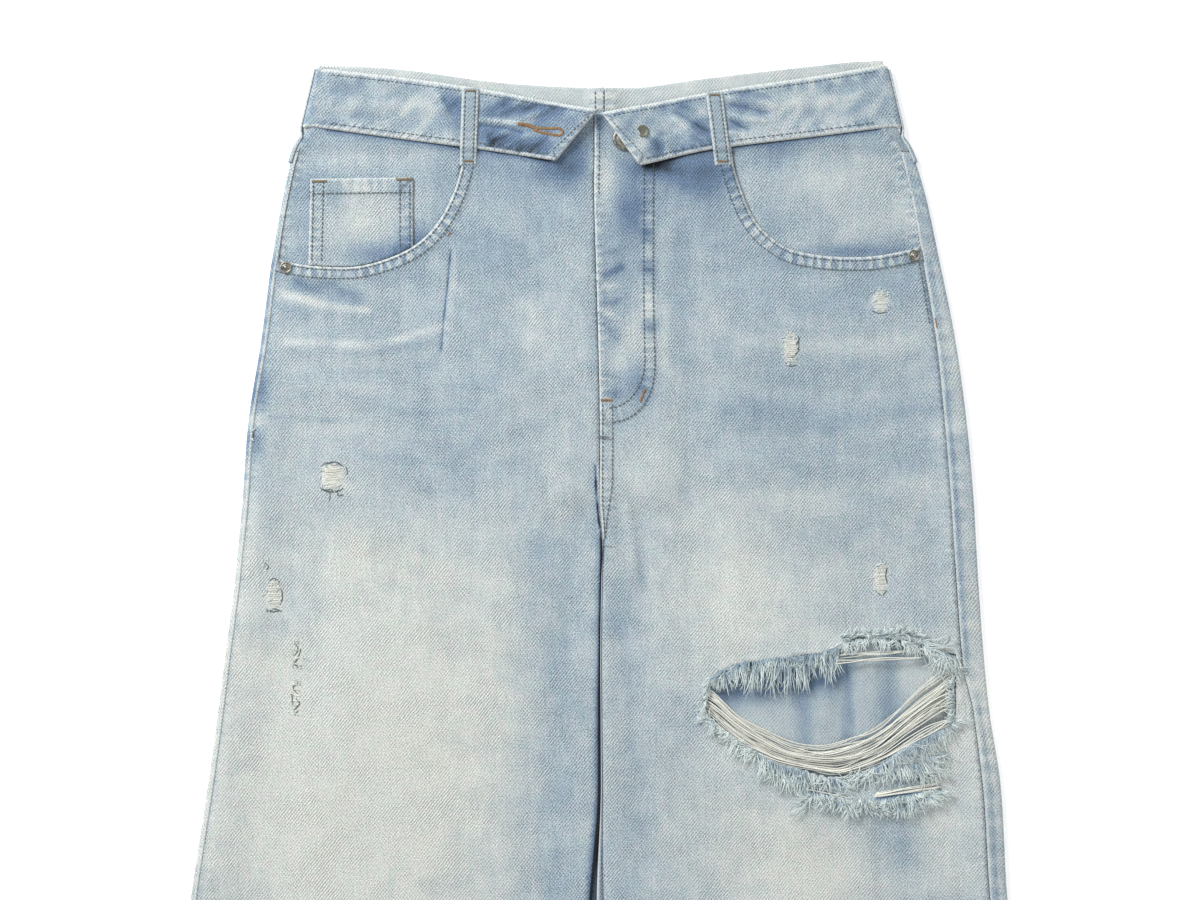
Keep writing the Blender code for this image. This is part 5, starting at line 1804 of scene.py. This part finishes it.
# Dark broken warp left round them
SCRIBBLES = [np.reshape(row, (-1, 2)) for row in figures("""
-212 320 -208 322 -204 321 -199 323 -194 320
-211 321 -204 323 -196 322
-205 322 -204 326 -205 330
-211 304 -206 301 -202 303 -196 302
-208 303 -202 300.5 -194 304
-199 323 -198 326 -194 325
-192 304 -191 310
147 206 147.5 212 146 219 142 223
148 208 146 213 148 217
137 226 141 229 146 228
202 187 207 189 214 188
214 380 213 386 214 392
206 398 210 401 214 397
-252 411 -248 413 -241 412
-250 390 -246 388 -242 391
-241 396 -240 402 -242 408
-252 413 -246 411 -240 413
-231 437 -228 441 -231 446
-228 448 -231 452 -227 456
-229 466 -232 471 -228 475
-230 478 -227 482 -232 487
-226 441 -228 447
-233 474 -232 482
-228 487 -231 491
-263 277 -261 280 -263 284
-254 376 -250 379 -252 382
""")]


def strands(level_at, x_from, x_to, count, spread, dice, lift=0, steps=64):
    """Loose weft threads in a few bunches; level_at(x, share) is how far down they run."""
    share = np.sort(dice.uniform(0, 1, (count, 1)), axis=0)
    u = np.linspace(0, 1, steps)[None, :]
    x = mix(x_from + dice.uniform(-2, 2, (count, 1)), x_to + dice.uniform(-2, 2, (count, 1)), u)
    number = np.arange(count)[:, None]
    wander = ripple(x, np.floor(share * 9) * 13, 50, 1, 41)
    wander = wander + 0.9 * ripple(x, number * 9, 34, 1, 43)
    wander = wander + 0.25 * ripple(x, number * 5, 12, 1, 44)
    down = level_at(x, np.clip(share + spread * wander, -0.02, 1.04))
    depth = dice.uniform(-0.9, 0.9, (count, 1)) + 1.6 * share
    tuck = 2.2 * (hump(u, 0.03) + hump(1 - u, 0.03))
    z = z_front(LEFT, x, down) + depth + 0.35 * ripple(x, number * 7, 15, 1, 45) + lift - tuck
    return table(x, down, z)


def fray(row, gap, dice, steps=7):
    """Short torn warp threads hanging from a line, in clumps whose tips draw together."""
    line, lengths, lean, wild, white, sink = row
    roots = even(smooth(line, 1), gap)
    count = len(roots)
    at = np.arange(count) * gap
    clump = np.searchsorted(np.cumsum(dice.uniform(1.8, 5.6, count)), at)
    middle = (np.bincount(clump, at) / np.maximum(np.bincount(clump), 1))[clump]
    own, each = dice.standard_normal((4, count))[:, clump], dice.standard_normal((4, count))
    length = np.interp(at, np.linspace(0, at[-1], len(lengths)), lengths)
    length = length * np.clip(1 + 0.17 * own[0] + 0.13 * each[0], 0.4, 1.5)
    angle = np.radians(lean + wild * (9 * own[1] + 8 * each[1]))[:, None]
    bend = np.radians(wild * (18 * own[2] + 18 * each[2]))[:, None]
    t = np.linspace(0, 1, steps)[None, :]
    heading, step = angle + bend * t, length[:, None] / (steps - 1)
    along = np.gradient(roots, gap, axis=0)
    pull = 0.8 * (middle - at)[:, None] * t ** 1.3
    x = roots[:, :1] - np.cumsum(np.sin(heading) * step, axis=1) + along[:, :1] * pull
    down = roots[:, 1:] + np.cumsum(np.cos(heading) * step, axis=1) + along[:, 1:] * pull
    root_z = z_panel(LEFT, roots[:, 0], roots[:, 1])[:, None] + dice.uniform(-0.5, 0.7, (count, 1))
    arch = (1.2 + 1.4 * np.abs(own[3] + 0.5 * each[3]))[:, None] * np.sin(t * 2.3)
    tint = white + 1.35 * t + (0.12 * own[3] + 0.12 * each[3])[:, None]
    return table(x, down, root_z + arch - sink * t * t), np.clip(tint, 0, 1)


def build_strands(rip_set, look):
    dice = np.random.RandomState(3)
    paths = [strands(lambda x, s: mix(STRAND_TOP(x), STRAND_LOW(x), s), 75.5, 269, rip_set.strands,
        0.1, dice)]
    # Levels of a bunch's first and last thread, the X they hold at, slope, ends, count,
    # spread and lift
    for first, last, at, slope, x_from, x_to, count, spread, lift in ((443.5, 451.5, 178, -0.07,
            175, 242, 8, 0.2, 1), (544.5, 547, 156, 0.2, 150, 182, 4, 0.1, 1.6),
            (548.5, 553.5, 208, -0.16, 204, 254, 8, 0.3, 1.8)):
        paths.append(strands(lambda x, s: mix(first, last, s) + (x - at) * slope, x_from, x_to,
            count, spread, dice, lift))
    paths = np.concatenate(paths)
    radius = dice.uniform(0.3, 0.46, (len(paths), 1))
    glow = dice.uniform(-0.5, 1.3, len(paths))
    tint = np.clip(0.82 + 0.3 * dice.standard_normal((len(paths), 1)), 0, 1)
    return threads("rip_strands", paths, radius, look, tint, glow)


def build_fray(part, rip_set, look):
    dice = np.random.RandomState({"upper": 5, "middle": 6, "lower": 8}[part])
    found = [fray(row, rip_set.fringe_gap * 1000, dice) for row in FRAYS[part]]
    paths = np.concatenate([path for path, _ in found])
    tint = np.concatenate([tints for _, tints in found])
    radius = dice.uniform(0.28, 0.48, (len(paths), 1)) * np.linspace(1.1, 0.45, paths.shape[1])
    return threads("rip_fringe_" + part + "_threads", paths, radius, look, slot="light_denim",
        sides=4, tint=tint, glow=dice.uniform(-1, 1, len(paths)))


def build_spots(weft, warp, dark):
    """Bare weft laid across each small worn place, with dark broken warp ends round it."""
    dice, bare, ends = np.random.RandomState(12), [], []
    u = np.linspace(-1, 1, 8)
    for x0, down0, wide, tall, count, broken in SPOTS:
        side = RIGHT if x0 < 0 else LEFT
        top = panel_top(side)
        for level_at in np.linspace(-1, 1, count):
            reach = wide * math.sqrt(max(0.2, 1 - 0.7 * level_at ** 4)) * dice.uniform(0.8, 1)
            x = x0 + dice.uniform(-0.4, 0.4) * wide * (1 - reach / wide / 1.2) + reach * u
            down = down0 + tall * (level_at + dice.uniform(-0.06, 0.06))
            down = down + 0.7 * ripple(x, down0 + level_at * 31, 4, 1, 61)
            bare.append(table(x, down, top(x, down) + 0.25 - 0.6 * u ** 4))
        for _ in range(broken):
            heading = dice.uniform(0, math.tau) + np.linspace(0, dice.uniform(-2.5, 2.5), 8)
            step, spot = dice.uniform(1.6, 4.4) / 7, dice.uniform(0, math.tau)
            x = x0 + wide * 1.05 * np.cos(spot) + np.cumsum(np.cos(heading)) * step
            down = down0 + tall * 1.05 * np.sin(spot) + np.cumsum(np.sin(heading)) * step
            ends.append(table(x, down, top(x, down) + 0.1 + 0.5 * np.sin(u * 1.5 + 1.5)))
    lines = []
    for line in SCRIBBLES:
        x, down = even(smooth(line, 0.5), count=8).T + dice.uniform(-0.3, 0.3, (2, 8))
        top = panel_top(RIGHT if line[0][0] < 0 else LEFT)
        lines.append(table(x, down, top(x, down) + 0.25))
    for name, paths, thread, tint in (("worn_spot_threads", bare, weft, 0.75),
            ("worn_spot_ends", ends, warp, 0.75), ("worn_spot_scribbles", lines, dark, 0)):
        radius = 0.38 * dice.uniform(0.7, 1.2, (len(paths), 1)) * fade(np.abs(u), 0.5, 1.6)
        threads(name, np.array(paths), radius, thread, sides=4, tint=tint + 0.25
            - dice.uniform(0, 0.5, (len(paths), 1)), glow=dice.uniform(-1, 0.6, len(paths)))


# ---- metal ----
def turned(name, at, base, outline, look, replaces, marks=0):
    """A round fitting modelled by hand: a disc extruded and drawn in, step by step.

    outline is (radius, height) from the foot up; marks raises that many lugs on its rim.
    """
    place = (at[0] * MM, (TOP_Y - at[1]) * MM, base * MM)
    bpy.ops.object.select_all(action='DESELECT')
    bpy.ops.mesh.primitive_circle_add(vertices=48, radius=outline[0][0] * MM, fill_type='NGON',
        location=place)
    piece = bpy.context.object
    bpy.ops.object.mode_set(mode='EDIT')
    bpy.ops.mesh.select_all(action='SELECT')
    for (was, low), (radius, high) in zip(outline, outline[1:]):
        bpy.ops.mesh.extrude_region_move(TRANSFORM_OT_translate={"value": (0, 0,
            (high - low) * MM)})
        scale = max(radius, 0.05) / was
        bpy.ops.transform.resize(value=(scale, scale, 1), center_override=place)
    bpy.ops.mesh.select_all(action='SELECT')
    bpy.ops.mesh.normals_make_consistent(inside=False)
    bpy.ops.object.mode_set(mode='OBJECT')
    if marks:
        top = max(high for _, high in outline) * MM
        rim = [f for f in piece.data.polygons if f.normal.z > 0.9 and f.center.z > top - 2e-4
            and f.center.xy.length > outline[0][0] * 0.0007]
        for face in piece.data.polygons:
            face.select = False
        for face in rim[::max(1, len(rim) // marks)]:
            face.select = True
    bpy.ops.object.mode_set(mode='EDIT')
    if marks:
        bpy.ops.mesh.extrude_region_move(TRANSFORM_OT_translate={"value": (0, 0, 0.0003)})
    bpy.ops.mesh.select_all(action='DESELECT')
    bpy.ops.mesh.edges_select_sharp(sharpness=math.radians(35))
    bpy.ops.mesh.bevel(offset=0.00012, segments=2)
    bpy.ops.object.mode_set(mode='OBJECT')
    bpy.ops.object.transform_apply(location=True, rotation=True, scale=True)
    bpy.ops.object.shade_smooth_by_angle(angle=math.radians(35))
    piece.name = piece.data.name = name
    piece.data.materials.append(look)
    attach(piece, "root")
    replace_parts(piece, replaces)
    return piece


def build_fittings(silver, bronze):
    for side in SIDES:
        x, down = RIVET_AT[side]
        base = float(z_panel(side, x, down)) + WALL / 2 + 0.1
        turned("rivet_" + WORD[side] + "_cap", (x, down), base, ((3.9, 0), (4.5, 0.3), (4.55, 0.8),
            (4.25, 1.1), (3.4, 1.1), (3.1, 0.45), (2.7, 0.45), (2.35, 0.75), (1.75, 0.75),
            (1.5, 0.5), (1.3, 1.25), (0.9, 1.5), (0.4, 1.6)), silver,
            "rivet_" + WORD[side])
    x, down = BUTTON_AT
    base = float(z_panel(LEFT, x, down)) + WALL / 2 + 0.2
    turned("button_head_cap", BUTTON_AT, base, ((3, 0), (3, 0.5), (8, 0.6), (8.6, 1), (8.6, 1.5),
        (8.1, 2.1), (7, 2.3), (6.2, 1.9), (5.6, 1.75), (4.9, 2), (2.2, 2.05), (0.8, 2.1)), silver,
        "button_head", marks=18)
    x, down = TACK_AT
    base = float(z_band(LEFT, x, down)) + BAND_WALL / 2 - 0.2
    turned("button_tack_disc", TACK_AT, base, ((4.2, 0), (4.55, 0.25), (4.6, 0.55), (4.3, 0.8),
        (3.9, 0.82), (3.6, 0.66), (1.6, 0.6), (0.6, 0.6)), bronze, "button_tack")


# ---- operators ----
LOOKS = {}


def look(name, maker, *args, **kwargs):
    """The named material, made the first time that a piece asks for it."""
    if name not in LOOKS:
        LOOKS[name] = maker(name, *args, **kwargs)
    return LOOKS[name]


def seam_thread(thread_set):
    pale = [channel * 1.5 for channel in thread_set.seam]
    return look("topstitch_thread", thread_look, thread_set.seam, pale)


def denims(cloth_set):
    """Outer and inner look of the panels, dark pocket cloth, turned band and loops."""
    face = look("washed_denim", denim_look, cloth_set, 1)
    reverse = look("denim_reverse", denim_look, cloth_set, -1, paler=-0.06, warmer=-0.1, grain=0.5)
    pocket = look("pocket_denim", denim_look, cloth_set, 1)
    band = look("turned_band_denim", denim_look, cloth_set, -1)
    loop = look("loop_denim", denim_look, cloth_set, 1, depth=0.95, warmer=0.1, grain=0.6)
    return {"face": (face, reverse), "pocket": (pocket, reverse), "band": (band, band),
        "loop": (loop, reverse)}


class JEANS_OT_stage(bpy.types.Operator):
    """Lay the pale floor, hang the soft lights and set the camera straight above"""
    bl_idname = "jeans.stage"
    bl_label = "Stage"

    def execute(self, context):
        stage, scene = context.scene.jeans_stage, context.scene

        def placed(name, data, location=(0, 0, 0)):
            made = bpy.data.objects.new(name, data)
            made.location = location
            context.collection.objects.link(made)
            return made

        middle = Vector((-0.0015, 0.25825, 0.006))
        eye = bpy.data.cameras.new("camera")
        eye.sensor_width = 36
        eye.lens = eye.sensor_width * stage.camera_height / stage.view_width
        scene.camera = placed("camera", eye, middle + Vector((0, 0, stage.camera_height)))
        for name, place, size, power in (("key_light", (-1.8, 2, 1.8), 1.2, stage.key),
                ("fill_light", (1.9, -0.9, 2.3), 2.2, stage.key * 0.18)):
            lamp = bpy.data.lights.new(name, 'AREA')
            lamp.size, lamp.energy = size, power
            aim = (middle - Vector(place)).to_track_quat('-Z', 'Y')
            placed(name, lamp, place).rotation_euler = aim.to_euler()
        scene.world = bpy.data.worlds.new("studio")
        scene.world.use_nodes = True
        sky = scene.world.node_tree.nodes["Background"].inputs
        sky["Color"].default_value, sky["Strength"].default_value = (0.97, 0.985, 1, 1), 0.4
        scene.view_settings.view_transform = 'Standard'
        mesh = bpy.data.meshes.new("floor")
        corners = [(x, y, -0.0001) for x, y in ((-4, -4), (4, -4), (4, 4), (-4, 4))]
        mesh.from_pydata(corners, [], [(0, 1, 2, 3)])
        floor_look, n, shader = new_look("pale_floor", Roughness=0.9, Emission_Strength=0.42,
            Emission_Color=(1, 1, 1, 1))
        grain = n.noise(n.add("TexCoord", out=3), 60, 3)
        n.feed(shader["Base Color"], n.blend(grain, (0.93, 0.93, 0.93, 1), (0.96, 0.96, 0.96, 1)))
        mesh.materials.append(floor_look)
        placed("floor", mesh)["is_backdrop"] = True
        return {'FINISHED'}


class JEANS_OT_backs(bpy.types.Operator):
    """Lay the back legs, yokes and back pockets"""
    bl_idname = "jeans.backs"
    bl_label = "Backs"

    def execute(self, context):
        made = denims(context.scene.jeans_cloth)
        for side in SIDES:
            lay(build_back_pocket(side, made["pocket"]))
            yoke, back = build_backs(side, made["face"])
            lay(yoke)
            lay(back)
        return {'FINISHED'}


class JEANS_OT_fronts(bpy.types.Operator):
    """Lay the two front panels, the left one torn at the knee"""
    bl_idname = "jeans.fronts"
    bl_label = "Fronts"

    def execute(self, context):
        made = denims(context.scene.jeans_cloth)
        for side in SIDES:
            lay(build_front(side, made["face"]))
        return {'FINISHED'}


class JEANS_OT_pockets(bpy.types.Operator):
    """Lay the pocket facings, the coin pocket and the fly shield"""
    bl_idname = "jeans.pockets"
    bl_label = "Pockets and fly shield"

    def execute(self, context):
        made = denims(context.scene.jeans_cloth)
        for side in SIDES:
            lay(build_facing(side, made["pocket"]))
        lay(build_coin_pocket(made["pocket"]))
        lay(build_shield(made["pocket"]))
        return {'FINISHED'}


class JEANS_OT_waistband(bpy.types.Operator):
    """Turn the waistband down over the hips and sew on its loops"""
    bl_idname = "jeans.waistband"
    bl_label = "Waistband and loops"

    def execute(self, context):
        made = denims(context.scene.jeans_cloth)
        for side in SIDES:
            lay(build_band(side, made["band"]))
            lay(build_front_loop(side, made["loop"]))
            lay(build_side_loop(side, made["loop"]))
        lay(build_back_loop(made["loop"]))
        return {'FINISHED'}


class JEANS_OT_sewing(bpy.types.Operator):
    """Run the topstitching, bartacks and buttonhole"""
    bl_idname = "jeans.sewing"
    bl_label = "Sewing"

    def execute(self, context):
        given = context.scene.jeans_thread
        build_sewing(given, seam_thread(given), look("bartack_thread", thread_look,
            (0.27, 0.24, 0.17), given.tack))
        return {'FINISHED'}


class JEANS_OT_rip(bpy.types.Operator):
    """Hang the loose weft across the knee, fray its edges and wear the small spots"""
    bl_idname = "jeans.rip"
    bl_label = "Torn knee"

    def execute(self, context):
        given = context.scene.jeans_rip
        weft = look("weft_thread", thread_look, [channel * 0.62 for channel in given.cream],
            given.cream)
        warp = look("frayed_warp_thread", thread_look, given.indigo, given.tip)
        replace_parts(build_strands(given, weft), "rip_threads")
        for part in FRAYS:
            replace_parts(build_fray(part, given, warp), "rip_fringe_" + part)
        build_spots(weft, warp, seam_thread(context.scene.jeans_thread))
        return {'FINISHED'}


class JEANS_OT_fittings(bpy.types.Operator):
    """Set the rivets, the button head and the disc of its tack"""
    bl_idname = "jeans.fittings"
    bl_label = "Metal fittings"

    def execute(self, context):
        build_fittings(look("antique_silver_metal", metal_look, (0.62, 0.6, 0.53),
            (0.1, 0.1, 0.085), 0.34), look("dull_bronze_metal", metal_look, (0.27, 0.27, 0.22),
            (0.17, 0.17, 0.135), 0.45))
        return {'FINISHED'}


class JEANS_PT_panel(bpy.types.Panel):
    """Settings and steps of the jeans"""
    bl_label = "Jeans"
    bl_idname = "JEANS_PT_panel"
    bl_space_type = 'VIEW_3D'
    bl_region_type = 'UI'
    bl_category = "Jeans"

    def draw(self, context):
        for group in SETTINGS:
            box = self.layout.box()
            settings = getattr(context.scene, group)
            for name in settings.__annotations__:
                box.prop(settings, name)
        for step in STEPS:
            self.layout.operator(step.bl_idname)


SETTINGS = {"jeans_cloth": JeansCloth, "jeans_thread": JeansThread, "jeans_rip": JeansRip,
    "jeans_stage": JeansStage}
STEPS = (JEANS_OT_stage, JEANS_OT_backs, JEANS_OT_fronts, JEANS_OT_pockets, JEANS_OT_waistband,
    JEANS_OT_sewing, JEANS_OT_rip, JEANS_OT_fittings)


def register():
    for made in (*SETTINGS.values(), *STEPS, JEANS_PT_panel):
        bpy.utils.register_class(made)
    for name, group in SETTINGS.items():
        setattr(bpy.types.Scene, name, PointerProperty(type=group))


def unregister():
    for name in SETTINGS:
        delattr(bpy.types.Scene, name)
    for made in (JEANS_PT_panel, *STEPS[::-1], *SETTINGS.values()):
        bpy.utils.unregister_class(made)


def main():
    register()
    for step in (bpy.ops.jeans.stage, bpy.ops.jeans.backs, bpy.ops.jeans.fronts,
            bpy.ops.jeans.pockets, bpy.ops.jeans.waistband, bpy.ops.jeans.sewing, bpy.ops.jeans.rip,
            bpy.ops.jeans.fittings):
        step()
    low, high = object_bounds()
    {"cad": [list(CAD_LOW), list(CAD_HIGH)], "visual": [list(low), list(high)]}


if __name__ == "__main__":
    main()
